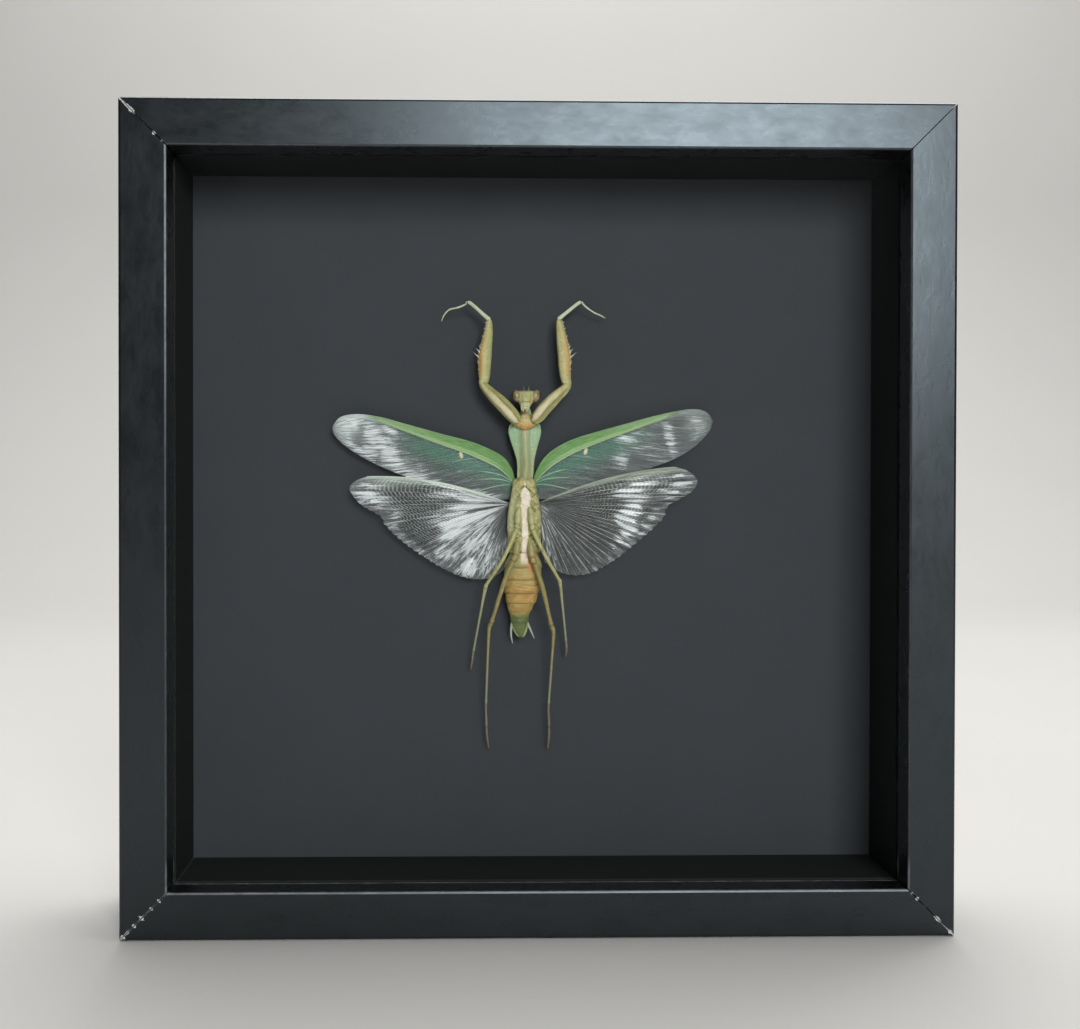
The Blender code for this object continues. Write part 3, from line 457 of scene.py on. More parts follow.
class Shell:
    """The surfaces of one piece, gathered: points, faces, pattern coordinates and named values"""

    def __init__(self, *names):
        self.points = []
        self.faces = {4: [], 3: []}
        self.patterns = {4: [], 3: []}
        self.values = {name: [] for name in names}
        self.count = 0

    def add_points(self, points, values):
        points = points.reshape(-1, 3)
        self.points.append(points)
        for name, gathered in self.values.items():
            value = np.ravel(values.get(name, 0.0)).astype(float)
            gathered.append(np.broadcast_to(value, len(points)))
        self.count += len(points)
        return self.count - len(points)

    def add_faces(self, faces, patterns):
        sides = faces.shape[-1]
        self.faces[sides].append(faces.reshape(-1, sides))
        self.patterns[sides].append(patterns.reshape(-1, sides, 2))

    def tube(self, rings, **values):
        """A closed skin over rings of points: faces join the rings, a middle point closes each end.

        The pattern runs once around each ring and once from the first ring to the last.
        """
        rows, columns = rings.shape[:2]
        ends = np.stack([rings[0].mean(0), rings[-1].mean(0)])
        grown = {name: np.r_[np.broadcast_to(value, (rows, columns)).ravel(), np.mean(value), np.mean(value)]
                 for name, value in values.items()}
        start = self.add_points(np.vstack([rings.reshape(-1, 3), ends]), grown)
        row, column = np.mgrid[0:rows - 1, 0:columns]
        corners = [(row + r, column + c) for r, c in ((0, 0), (0, 1), (1, 1), (1, 0))]
        faces = np.stack([start + r * columns + c % columns for r, c in corners], -1)
        patterns = np.stack([np.stack([c / columns, r / (rows - 1)], -1) for r, c in corners], -2)
        self.add_faces(faces, patterns)
        column = np.arange(columns)
        for first, end, share in ((0, 0, 0.0), ((rows - 1) * columns, 1, 1.0)):
            pole = np.full(columns, start + rows * columns + end)
            faces = np.stack([start + first + column, start + first + (column + 1) % columns, pole], -1)
            around = np.stack([column, column + 1, column + 0.5], -1) / columns
            self.add_faces(faces, np.stack([around, np.full(around.shape, share)], -1))

    def blade(self, outer, inner, pattern, **values):
        """A thin closed plate: two facing grids joined along all four rims, with one pattern on both"""
        full = outer.shape[:2]
        pattern = np.stack(np.broadcast_arrays(*pattern), -1)
        values = {name: np.broadcast_to(value, full) for name, value in values.items()}
        rows, columns = full
        loop = 2 * columns
        both = np.concatenate([outer, inner[:, ::-1]], axis=1)
        drawn = np.concatenate([pattern, pattern[:, ::-1]], axis=1).reshape(-1, 2)
        grown = {name: np.concatenate([value, value[:, ::-1]], axis=1) for name, value in values.items()}
        start = self.add_points(both, grown)
        row, column = np.mgrid[0:rows - 1, 0:loop]
        after = (column + 1) % loop
        faces = np.stack([row * loop + column, row * loop + after, (row + 1) * loop + after,
                          (row + 1) * loop + column], -1)
        self.add_faces(start + faces, drawn[faces])
        column = np.arange(columns - 1)
        for first in (0, (rows - 1) * loop):
            faces = first + np.stack([column, column + 1, loop - 2 - column, loop - 1 - column], -1)
            self.add_faces(start + faces, drawn[faces])

    def cones(self, roots, tips, widths, sides=6, **values):
        """Closed cones: a ring of points around each root, a point behind it and the tip"""
        roots, tips = np.atleast_2d(roots), np.atleast_2d(tips)
        count = len(roots)
        run = tips - roots
        across = unit(np.cross(run, np.array([0.35, 1.0, 0.2])))
        lift = np.cross(unit(run), across)
        angles = angles_of(sides)[..., None]
        wide = np.broadcast_to(widths, count).reshape(-1, 1, 1)
        rings = roots[:, None] + wide * (np.cos(angles) * across[:, None] + np.sin(angles) * lift[:, None])
        points = np.concatenate([rings, tips[:, None], (roots - 0.1 * run)[:, None]], axis=1)
        spread = {name: np.repeat(np.broadcast_to(value, count), sides + 2) for name, value in values.items()}
        start = self.add_points(points, spread)
        first = (start + np.arange(count) * (sides + 2))[:, None]
        ring = np.arange(sides)[None]
        after = (ring + 1) % sides
        for point in (sides, sides + 1):
            pole = np.broadcast_to(first + point, (count, sides))
            faces = np.stack([first + ring, first + after, pole], -1)
            self.add_faces(faces, np.zeros((*faces.shape, 2)))

    def make(self, name, finish, slot, *nodes):
        """Puts what was gathered in one object with its faces outwards, and sets it in the frame"""
        mesh = bpy.data.meshes.new(name)
        points = np.vstack(self.points)
        groups = [(np.vstack(self.faces[n]), np.vstack(self.patterns[n])) for n in (4, 3) if self.faces[n]]
        corners = np.concatenate([faces.ravel() for faces, _ in groups])
        totals = np.concatenate([np.full(len(faces), faces.shape[1]) for faces, _ in groups])
        mesh.vertices.add(len(points))
        mesh.vertices.foreach_set("co", points.ravel())
        mesh.loops.add(len(corners))
        mesh.loops.foreach_set("vertex_index", corners)
        mesh.polygons.add(len(totals))
        mesh.polygons.foreach_set("loop_start", np.r_[0, np.cumsum(totals)[:-1]])
        mesh.uv_layers.new(name="UVMap")
        drawn = np.concatenate([patterns.ravel() for _, patterns in groups])
        mesh.uv_layers["UVMap"].uv.foreach_set("vector", drawn)
        for word, gathered in self.values.items():
            mesh.attributes.new(word, "FLOAT", "POINT").data.foreach_set("value", np.concatenate(gathered))
        mesh.update(calc_edges=True)
        mesh.validate()
        shape = bmesh.new()
        shape.from_mesh(mesh)
        bmesh.ops.recalc_face_normals(shape, faces=shape.faces)
        shape.to_mesh(mesh)
        shape.free()
        mesh.shade_smooth()
        mesh.set_sharp_from_angle(angle=math.radians(60))
        mesh.materials.append(finish.material)
        piece = bpy.data.objects.new(name, mesh)
        bpy.context.scene.collection.objects.link(piece)
        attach(piece, "root")
        if nodes:
            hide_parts(*nodes)


def dress(finish, *nodes):
    """Gives solids of the frame a finish"""
    for node in nodes:
        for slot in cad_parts[node].material_slots:
            slot.material = finish.material


COLOUR = {"subtype": "COLOR", "min": 0, "max": 1}


class FrameSettings(bpy.types.PropertyGroup):
    foil: FloatVectorProperty(
        name="Foil", description="Black foil around the rails",
        default=(0.0046, 0.0045, 0.0044), **COLOUR)
    filler: FloatVectorProperty(
        name="Filler", description="Pale filler bared where the foil is chipped",
        default=(0.50, 0.51, 0.50), **COLOUR)
    liner: FloatVectorProperty(
        name="Liner", description="Black paper on the inner walls",
        default=(0.016, 0.0175, 0.017), **COLOUR)
    card: FloatVectorProperty(
        name="Card", description="Dark blue-grey card behind the specimen",
        default=(0.046, 0.051, 0.058), **COLOUR)
    board: FloatVectorProperty(
        name="Board", description="Brown hardboard back", default=(0.19, 0.105, 0.052), **COLOUR)
    zinc: FloatVectorProperty(
        name="Zinc", description="Plated spring points and hanging plate",
        default=(0.56, 0.57, 0.58), **COLOUR)
    chip_size: FloatProperty(name="Chip size", description="Half width of the largest chip at a mitre",
                             default=0.00075, unit="LENGTH")


class SpecimenSettings(bpy.types.PropertyGroup):
    mint: FloatVectorProperty(
        name="Mint", description="Edges of the neck shield", default=(0.27, 0.42, 0.24), **COLOUR)
    tan: FloatVectorProperty(
        name="Tan", description="Head, arms and the shield's rib", default=(0.48, 0.44, 0.185), **COLOUR)
    ochre: FloatVectorProperty(
        name="Ochre", description="Abdomen and the lower arms", default=(0.50, 0.31, 0.08), **COLOUR)
    olive: FloatVectorProperty(
        name="Olive", description="Plates of the thorax", default=(0.36, 0.34, 0.13), **COLOUR)
    cream: FloatVectorProperty(
        name="Cream", description="Soft skin along the middle of the thorax",
        default=(0.89, 0.76, 0.59), **COLOUR)
    brown: FloatVectorProperty(
        name="Brown", description="Dried seams and eye rims", default=(0.10, 0.05, 0.022), **COLOUR)


class WingSettings(bpy.types.PropertyGroup):
    green: FloatVectorProperty(
        name="Green", description="Front band of the forewings", default=(0.145, 0.34, 0.085), **COLOUR)
    teal: FloatVectorProperty(
        name="Teal", description="Membrane next to the green band",
        default=(0.085, 0.255, 0.185), **COLOUR)
    smoke: FloatVectorProperty(
        name="Smoke", description="Clear membrane of the forewings",
        default=(0.13, 0.155, 0.16), **COLOUR)
    fan: FloatVectorProperty(
        name="Fan", description="Clear membrane of the hindwings",
        default=(0.075, 0.085, 0.085), **COLOUR)
    # Colour of the painted sheen: silver that stands in for light reflected by the crumpled membrane
    painted_sheen: FloatVectorProperty(
        name="Silver", description="Shining crumpled membrane", default=(0.88, 0.93, 0.95), **COLOUR)
    vein: FloatVectorProperty(name="Vein", description="Pale veins", default=(0.54, 0.74, 0.44), **COLOUR)
    thickness: FloatProperty(name="Membrane", description="Thickness of a wing between its veins",
                             default=0.00009, unit="LENGTH")
    spans: IntProperty(name="Spans", description="Grid lines along a wing", default=240, min=40, max=400)
    chords: IntProperty(name="Chords", description="Grid lines across a wing", default=92, min=20, max=200)


class StageSettings(bpy.types.PropertyGroup):
    floor: FloatVectorProperty(
        name="Floor", description="Pale floor and backdrop", default=(0.56, 0.552, 0.535), **COLOUR)
    key_power: FloatProperty(name="Key", description="Power of the soft window light", default=32.0,
                             unit="POWER")
    air: FloatProperty(name="Air", description="Strength of the even light around", default=0.07)


# Chips along each mitre, by side and top: stops of (share from the outer corner, share of the chip size)
MITRE_WEAR = {
    (-1, 1): [(0.0, 0.15), (0.04, 0.40), (0.10, 0.34), (0.20, 0.62), (0.30, 0.80), (0.35, 0.35), (0.39, 0.02),
              (0.50, 0.04), (0.56, 0.22), (0.61, 0.02), (0.71, 0.1), (0.76, 0.80), (0.80, 0.12), (0.88, 0.12),
              (0.92, 0.35), (0.97, 0.05)],
    (-1, -1): [(0.0, 0.5), (0.06, 0.4), (0.09, 1.1), (0.12, 0.35), (0.19, 0.55), (0.23, 0.28), (0.29, 0.3),
               (0.32, 1.0), (0.35, 0.3), (0.45, 0.3), (0.48, 1.3), (0.51, 0.3), (0.65, 0.28), (0.68, 0.75),
               (0.71, 0.28), (0.82, 0.28), (0.84, 0.9), (0.87, 0.28), (1.0, 0.30)],
    (1, -1): [(0.0, 0.1), (0.05, 0.2), (0.10, 0.85), (0.15, 0.1), (0.28, 0.05), (0.33, 0.6), (0.38, 0.85),
              (0.43, 0.4), (0.47, 0.05), (0.61, 0.02), (0.64, 0.35), (0.67, 0.05), (0.77, 0.1), (0.80, 0.85),
              (0.84, 0.2), (0.89, 0.2), (0.92, 0.45), (0.96, 0.05)],
    (1, 1): [(0.0, 0.0), (0.18, 0.0), (0.24, 0.08), (0.32, 0.06), (0.40, 0.0)],
}


def foil_finish(settings):
    """Satin black foil: a wavy mottled grain along each rail, pale arrises that are partly wear and partly
    painted highlight, and chips at the mitres
    """
    foil = Finish("satin black foil", Roughness=0.3, Specular_IOR_Level=0.60,
                  Specular_Tint=(0.74, 0.90, 1.0, 1.0))
    spot = foil.place()
    x, y, z = foil.parts(spot)
    up = z - MIDDLE_Z
    level = (up.size() - x.size()).rise(-1e-5, 1e-5)
    run = level * x + (1.0 - level) * up
    across = level * up + (1.0 - level) * x
    grain = foil.vector(run * 0.45, y, across)
    wave = foil.noise(grain, 420.0, 2.0, 0.5, 0.6)
    fine = foil.noise(spot, 4200.0, 2.0)
    blotch = foil.noise(grain, 190.0, 3.0, 0.6)
    near_inner = (across.size() - INNER_SIDE).rise(0.0007, 0.0001)
    near_outer = (across.size() - OUTER_SIDE).rise(-0.0006, -0.0001)
    in_front = (y - FRONT).rise(0.0009, 0.0001)
    rub = foil.noise(foil.vector(run * 0.4, y, across), 700.0, 4.0, 0.7)
    # Pale arrises, partly foil worn through and partly a painted highlight where light catches the rounded
    # edges: most along the bottom rail, high on the left rail, and along the bottom lip's rear edge
    low = up.rise(-0.100, -0.106)
    where = 0.22 + low * 0.70 + (x.rise(-0.100, -0.104) * up.rise(0.010, 0.085) * (1.0 - level))
    wear_and_painted_highlight = near_inner * in_front * where * (0.55 + rub.rise(0.34, 0.66) * 0.45)
    wear_and_painted_highlight = wear_and_painted_highlight.most(near_outer * in_front * rub.rise(0.56, 0.74) * 0.35)
    lip = (y - (FRONT + LIP_DEPTH)).size().rise(0.0009, 0.0002)
    wear_and_painted_highlight = wear_and_painted_highlight.most(near_inner * lip * low * (0.35 + rub.rise(0.40, 0.60) * 0.65))
    share = (OUTER_SIDE - (x.size() + up.size()) * 0.5) / (OUTER_SIDE - INNER_SIDE)
    aside = (x.size() - up.size()).size() * 0.7071
    rag = foil.noise(spot, 2300.0, 4.0, 0.75)
    chipped = 0.0
    for (side, top), stops in MITRE_WEAR.items():
        here = (x * side).rise(0.0, 0.001) * (up * top).rise(0.0, 0.001)
        width = foil.profile(share, stops)
        chipped = chipped + here * (width * (rag * 3.0 - 0.5) * settings.chip_size - aside).rise(0.0, 0.00009)
    chipped = chipped * (y - FRONT).rise(0.0022, 0.0008)
    # The grey coat on the arrises is their wear and painted highlight
    tone = foil.layers(
        foil.shade(settings.foil, 0.60 + wave * 0.45 + blotch * 0.45),
        (wear_and_painted_highlight * 0.75, (0.34, 0.36, 0.38)),
        (chipped, foil.shade(settings.filler, 0.70 + fine * 0.7)))
    roughness = ((0.17 + wave * 0.10 + blotch * 0.14) + wear_and_painted_highlight * 0.2).most(chipped * 0.8)
    return foil.complete(tone, roughness, wave * 1.4 + blotch * 1.2 + fine * 0.08 - chipped, 0.000014)


def glass_finish():
    """Thin clear glass: light goes straight through, with a faint sheen and a little dust"""
    glass = Finish("clear glass", Roughness=0.05, Alpha=1.0)
    glass.shader.inputs["Base Color"].default_value = (0.9, 0.93, 0.92, 1.0)
    dust = glass.noise(glass.place(), 2600.0, 4.0, 0.7).rise(0.74, 0.80)
    smear = glass.noise(glass.place(), 28.0, 3.0, 0.6, 0.8)
    rim = glass.number(0, "ShaderNodeFresnel", None, {"IOR": 1.25})
    clear = glass.node("ShaderNodeBsdfTransparent", None, {"Color": (0.985, 0.992, 0.99, 1.0)})
    gloss = glass.node("ShaderNodeBsdfGlossy", None, {"Color": (1.0, 1.0, 1.0, 1.0), "Roughness": 0.04})
    share = ((rim - 0.0125).most(0.0) * (0.3 + smear * 0.15) + dust * 0.004).least(1.0)
    both = glass.node("ShaderNodeMixShader", None, {0: share, 1: clear.outputs[0], 2: gloss.outputs[0]})
    out = glass.tree.nodes["Material Output"]
    glass.tree.links.new(both.outputs[0], out.inputs["Surface"])
    glass.tree.nodes.remove(glass.shader)
    return glass


def paper_finish(name, colour, fibre, roughness=0.9, rubbed=0.0):
    """Dull paper or card: soft clouds, short fibres, a fine tooth and, if rubbed, a paler lower left mitre"""
    paper = Finish(name, Roughness=roughness, Specular_IOR_Level=0.25)
    spot = paper.place()
    cloud = paper.noise(spot, 35.0, 4.0, 0.6)
    tooth = paper.noise(spot, 2800.0, 3.0, 0.6)
    felt = paper.noise(paper.stretched(spot, (1.0, 1.0, 0.35)), 1100.0, 4.0, 0.7, 2.0)
    strands = felt.rise(0.62, 0.72)
    tone = paper.shade(colour, 0.86 + cloud * 0.16 + tooth * 0.14 + strands * fibre)
    if rubbed:
        x, _, z = paper.parts(spot)
        corner = (x.size() - (z - MIDDLE_Z).size()).size().rise(0.0008, 0.0002) * x.rise(0.0, -0.1)
        corner = corner * (z - MIDDLE_Z).rise(0.0, -0.1) * tooth.rise(0.35, 0.6)
        tone = paper.mix(corner * rubbed, tone, (0.13, 0.13, 0.125))
    return paper.complete(tone, roughness - strands * 0.06, tooth * 0.6 + felt * 0.6, 0.00007, 0.7)


def board_finish(settings):
    """Hardboard: pressed brown fibres with the print of a fine wire screen"""
    board = Finish("brown hardboard", Roughness=0.7, Specular_IOR_Level=0.35)
    spot = board.place()
    x, _, z = board.parts(spot)
    fibres = board.noise(board.stretched(spot, (1.0, 1.0, 0.4)), 700.0, 5.0, 0.7, 2.5)
    cloud = board.noise(spot, 40.0, 3.0)
    flecks = board.noise(spot, 1500.0, 2.0).rise(0.64, 0.72)
    screen = (x * 3800.0).sine() * (z * 3800.0).sine()
    tone = board.shade(settings.board, 0.6 + fibres * 0.5 + cloud * 0.3)
    tone = board.mix(flecks * 0.45, tone, (0.05, 0.026, 0.014))
    return board.complete(tone, 0.58 + fibres * 0.25, screen * 0.35 + fibres * 0.9, 0.00012)


def zinc_finish(settings):
    """Zinc plate: drawn hairlines, cloudy bright and dull patches and a few dark scratches"""
    zinc = Finish("zinc plated steel", Metallic=1.0, Roughness=0.35)
    spot = zinc.place()
    hair = zinc.noise(zinc.stretched(spot, (0.06, 1.0, 1.0)), 5200.0, 3.0, 0.7)
    cloud = zinc.noise(spot, 260.0, 3.0, 0.6)
    scratch = zinc.noise(zinc.stretched(spot, (1.0, 1.0, 0.05)), 2600.0, 2.0).rise(0.70, 0.76)
    tone = zinc.layers(zinc.shade(settings.zinc, 0.75 + hair * 0.4), (cloud, (0.62, 0.60, 0.52)),
                       (scratch * 0.6, (0.20, 0.20, 0.21)))
    return zinc.complete(tone, 0.24 + cloud * 0.22 + scratch * 0.2, hair * 0.4 - scratch, 0.00002)


def glue_finish():
    """Dried clear glue: yellowed, uneven and glossy"""
    glue = Finish("dried glue", Roughness=0.25, Coat_Weight=0.3, IOR=1.48, Transmission_Weight=0.4)
    lumps = glue.noise(glue.place(), 500.0, 3.0, 0.6)
    tone = glue.mix(lumps, (0.72, 0.62, 0.40), (0.86, 0.83, 0.72))
    return glue.complete(tone, 0.15 + lumps * 0.3, lumps, 0.0004)


def wing_h(x, root_h):
    """A spread wing rises evenly towards its tip"""
    return root_h + WING_RISE * np.abs(np.asarray(x) - WING_ROOT_X) / WING_REACH


# Forewing veins: chord shares of the main vein, slant and number of the side veins, (start, run) at the root
VEIN_ROOT, VEIN_TIP = 0.30, 0.05
VEIN_SLANT = 0.46
FOREWING_VEINS = 38
FAN_VEINS = ((0.30, 0.85), (0.34, 1.5), (0.40, 2.6))
CROSS_VEIN = (0.05, 0.06, 0.055)


def main_vein(u):
    """Chord share of a forewing's main vein: it nears the front edge evenly towards the tip"""
    return VEIN_ROOT + (VEIN_TIP - VEIN_ROOT) * u


def painted_wing_sheen(wing, u, v, sway_u, sway_v):
    """The wing's painted sheen, silver patches standing in for reflected light, less its dark patches;
    undulations of (height, cells) sway their outlines
    """
    bent_u = u + sway_u[0] * undulation(u, v, *sway_u[1:], wing["seed"] + 9)
    bent_v = v + sway_v[0] * undulation(u, v, *sway_v[1:], wing["seed"] + 13)
    return patches(bent_u, bent_v, wing["painted_sheen"]) * (1 - patches(bent_u, bent_v, wing["dark"]))


def make_membrane(name, finish, slot, flat, thick, pattern, values):
    """A wing as a thin closed plate over (x, z): its middle height, less and plus half its thickness"""
    middle, half = thick
    shell = Shell(*values)
    shell.blade(place(*flat, middle + half), place(*flat, middle - half), pattern, **values)
    shell.make(name + "_membrane", finish, slot, name)


def make_forewing(name, settings, finish):
    """A leathery front band and a clear pleated membrane.

    A point is lead(u)(1 - v) + trail(u)v. Its h is the wing's rise, a shallow camber, a bell-shaped
    ridge on the main vein, small waves across the slanting side veins and a seeded crumple.
    """
    wing = FOREWINGS[name]
    seed = wing["seed"]
    u, v = even(settings.spans)[:, None] * 0.996, even(settings.chords)[None, :]
    lead, trail = (along(smooth_line(wing[edge]), u[:, 0])[:, None] for edge in ("front", "rear"))
    flat = lead * (1 - v[..., None]) + trail * v[..., None]
    vein = main_vein(u)
    slanted = u - VEIN_SLANT * (v - vein)
    behind = step(v, vein, vein + 0.08)
    side_veins = np.abs(np.sin(math.pi * FOREWING_VEINS * slanted)) ** 6
    crumple = undulation(u, v, 34, 9, seed) * 0.10
    crumple = crumple + undulation(slanted * 0.6 + 0.3, v, 70, 5, seed + 5) * 0.06
    camber = 0.30 * np.sin(math.pi * v) * (1 - u)
    middle = wing_h(flat[..., 0], FOREWING_H) - camber + behind * crumple
    ribs = 0.16 * hump(v, vein, 0.016) * (1 - 0.7 * u) + 0.10 * hump(v, 0.0, 0.02)
    ribs = ribs + 0.035 * side_veins * behind
    stigma = hump(u + 0.12 * (v - 0.29), 0.315, 0.016) * hump(v, 0.29, 0.085)
    half = settings.thickness / MM / 2 + ribs + 0.05 * stigma + 0.06 * (1 - behind)
    fans = sum(hump(v, start + run * u, 0.014) for start, run in FAN_VEINS) * (1 - step(u, 0.14, 0.30))
    frost = step(u + 0.06 * hump(v, 0.5, 0.4), 0.82, 0.94)
    frost = frost + 1.5 * step(u, 0.62, 0.84) * (1 - step(v, 0.06, 0.22))
    values = {
        "green": (1 - step(v, vein - 0.05, vein + 0.05)) * (1 - step(u, 0.62, 0.96)),
        "teal": behind * (1 - step(v, vein + 0.12, vein + 0.58)) * (1 - step(u, 0.45, 0.74)),
        "ridge": hump(v, vein, 0.016) * (1 - 0.6 * u) + 0.5 * hump(v, 0.0, 0.014) + 0.8 * fans,
        # Where the painted sheen lies, standing in for light reflected by the crumpled membrane; weaker ahead
        # of the main vein
        "painted_sheen_mask": painted_wing_sheen(wing, u, v, (0.022, 12, 5), (0.06, 14, 4)) * (0.25 + 0.75 * behind),
        "frost": wing["frost"] * np.clip(frost, 0, 1.6) * (1 - 0.6 * step(v, 0.72, 0.95)),
        "stigma": stigma,
    }
    make_membrane(name, finish, "wing_green", (flat[..., 0], flat[..., 1]), (middle, half), (u, v), values)


def forewing_finish(settings):
    """Clear membrane with slanting veins and cross-veins; silver painted where it crumples as its sheen,
    green along the front
    """
    wing = Finish("forewing membrane", Roughness=0.3, Specular_IOR_Level=0.5)
    u, v = wing.pattern()
    green, teal, ridge = wing.values("green", "teal", "ridge")
    painted_sheen_mask, frost, stigma = wing.values("painted_sheen_mask", "frost", "stigma")
    vein = main_vein(u)
    slanted = u - (v - vein) * VEIN_SLANT
    streaks = wing.noise(wing.vector(slanted * 54.0, v * 4.2), 1.0, 4.0, 0.66, 0.7)
    # Painted highlight streaks along the veins, most in the painted sheen patches
    bright = (streaks + painted_sheen_mask * 0.34 - 0.27).rise(0.36, 0.52)
    veins = (slanted * math.pi * FOREWING_VEINS).sine().size().rise(0.86, 0.99)
    net = wing.vector(slanted * FOREWING_VEINS * 2.0, v * 46.0 + slanted * 40.0)
    cross = wing.cells(net, 1.0, "DISTANCE_TO_EDGE").rise(0.10, 0.02)
    grain = wing.noise(wing.vector(u * 220.0, v * 60.0), 1.0, 3.0, 0.6)
    length = wing.noise(wing.vector(u * 16.0, v * 60.0), 1.0, 4.0, 0.65, 0.4)
    # The silver painted sheen, standing in for reflected light, also made more opaque and a little metallic
    painted_sheen = ((painted_sheen_mask * 0.32 + bright * (0.30 + painted_sheen_mask * 0.60)) * (1.0 - veins * 0.30)).least(1.0)
    second = (v / vein - 0.80 + (length - 0.5) * 0.3).size().rise(0.20, 0.04) * u.rise(0.04, 0.22)
    leaf = wing.layers(
        wing.mix(u.rise(0.30, 0.75), settings.green, (0.30, 0.46, 0.22)),
        (length.rise(0.45, 0.70) * 0.65, (0.36, 0.52, 0.26)),
        (length.rise(0.48, 0.30) * 0.60, (0.06, 0.20, 0.045)),
        (second * 0.75, (0.38, 0.58, 0.24)))
    green = (green + (length - 0.5) * 0.45).rise(0.25, 0.75)
    stigma = (stigma + (grain - 0.5) * 0.7).rise(0.40, 0.85)
    # The silver coat is the painted sheen, and the pale frost near the tip is lifted by the painted highlight
    # streaks
    tone = wing.layers(
        wing.mix(streaks.rise(0.35, 0.65), settings.smoke, (0.30, 0.34, 0.35)),
        (teal, settings.teal),
        (painted_sheen, wing.shade(settings.painted_sheen, 0.72 + streaks * 0.45)),
        (veins * 0.22 * (1.0 - painted_sheen), settings.vein),
        (cross * 0.10, CROSS_VEIN),
        ((frost * (0.25 + grain * 0.4 + bright * 0.5)).least(1.0), (0.74, 0.82, 0.80)),
        (green, leaf),
        (ridge.rise(0.20, 0.85) * 0.80, settings.vein),
        (stigma, wing.mix(grain, (0.62, 0.60, 0.34), (0.74, 0.70, 0.48))))
    solid = 0.22 + teal * 0.24 + painted_sheen * 0.50 + veins * 0.09 + cross * 0.03 + frost * 0.36
    wing.feed("Alpha", solid.most(green * 0.86).most(ridge.rise(0.2, 0.8) * 0.92).most(stigma).least(1.0))
    wing.feed("Metallic", painted_sheen * 0.12)
    height = streaks * 0.8 + veins * 0.5 + cross * 0.15 + grain * 0.15 + length * green * 0.6
    return wing.complete(tone, 0.42 - painted_sheen * 0.14 + grain * 0.10, height, 0.00010)


def make_hindwing(name, settings, finish):
    """A pleated fan.

    A point is root + (margin(s) - root)r, bowed forwards near the front edge by the bow times
    4r(1 - r). Its h is the wing's rise, a triangle wave of pleats across s that grows with r, raised
    rays on the folds and a seeded crumple that grows towards the margin, which is lightly scalloped.
    """
    fan = HINDWINGS[name]
    seed = fan["seed"]
    s, r = even(settings.spans + 40)[:, None], (0.012 + 0.988 * even(settings.chords + 8))[None, :]
    rim = along(smooth_line(fan["margin"]), s[:, 0])[:, None]
    root = np.array(fan["root"])
    pleats = 2 / math.pi * np.arcsin(np.cos(2 * math.pi * PLEAT_COUNT * s))
    scallop = 1 - 0.014 * step(s, 0.12, BOW_FADE) * (1 - np.abs(pleats)) * r**4
    flat = root + (rim - root) * (r * scallop)[..., None]
    bow = fan["bow"] * np.clip(1 - s / BOW_FADE, 0, 1) * (4 * r * (1 - r))
    x, z = flat[..., 0], flat[..., 1] + bow
    crumple = undulation(s, r, 46, 7, seed) * 0.14 + undulation(s, r, 110, 12, seed + 5) * 0.05
    middle = wing_h(x, HINDWING_H) + 0.20 * pleats * r * np.clip(s / BOW_FADE, 0.15, 1) + crumple * r
    rays = np.abs(pleats) ** 7 * (1 - 0.5 * r)
    edge = 1 - step(s * (0.22 + r), 0.013, 0.028) + 0.5 * hump(s, 0.055, 0.008)
    ribs = 0.05 * rays + 0.14 * edge * (1 - 0.6 * r) + 0.03 * hump(r, 1.0, 0.008)
    frost = (1 - step(s, 0.05, 0.14)) * step(r, 0.45, 0.80) * (1 - 0.7 * step(r, 0.72, 0.95))
    values = {
        "painted_sheen_mask": painted_wing_sheen(fan, s, r, (0.016, 16, 5), (0.05, 24, 4)),
        "rays": rays * (1.55 - 0.75 * fan["frost"]),
        "edge": edge,
        "frost": fan["frost"] * frost,
        "rim": step(r, 0.90, 1.0),
        "band": (1 - step(s, fan["band"] * 0.7, fan["band"] * 1.3)) * step(r, 0.10, 0.40),
        "barred": fan["bars"],
    }
    half = settings.thickness / MM / 2 + ribs
    make_membrane(name, finish, "wing_clear", (x, z), (middle, half), (s, r), values)


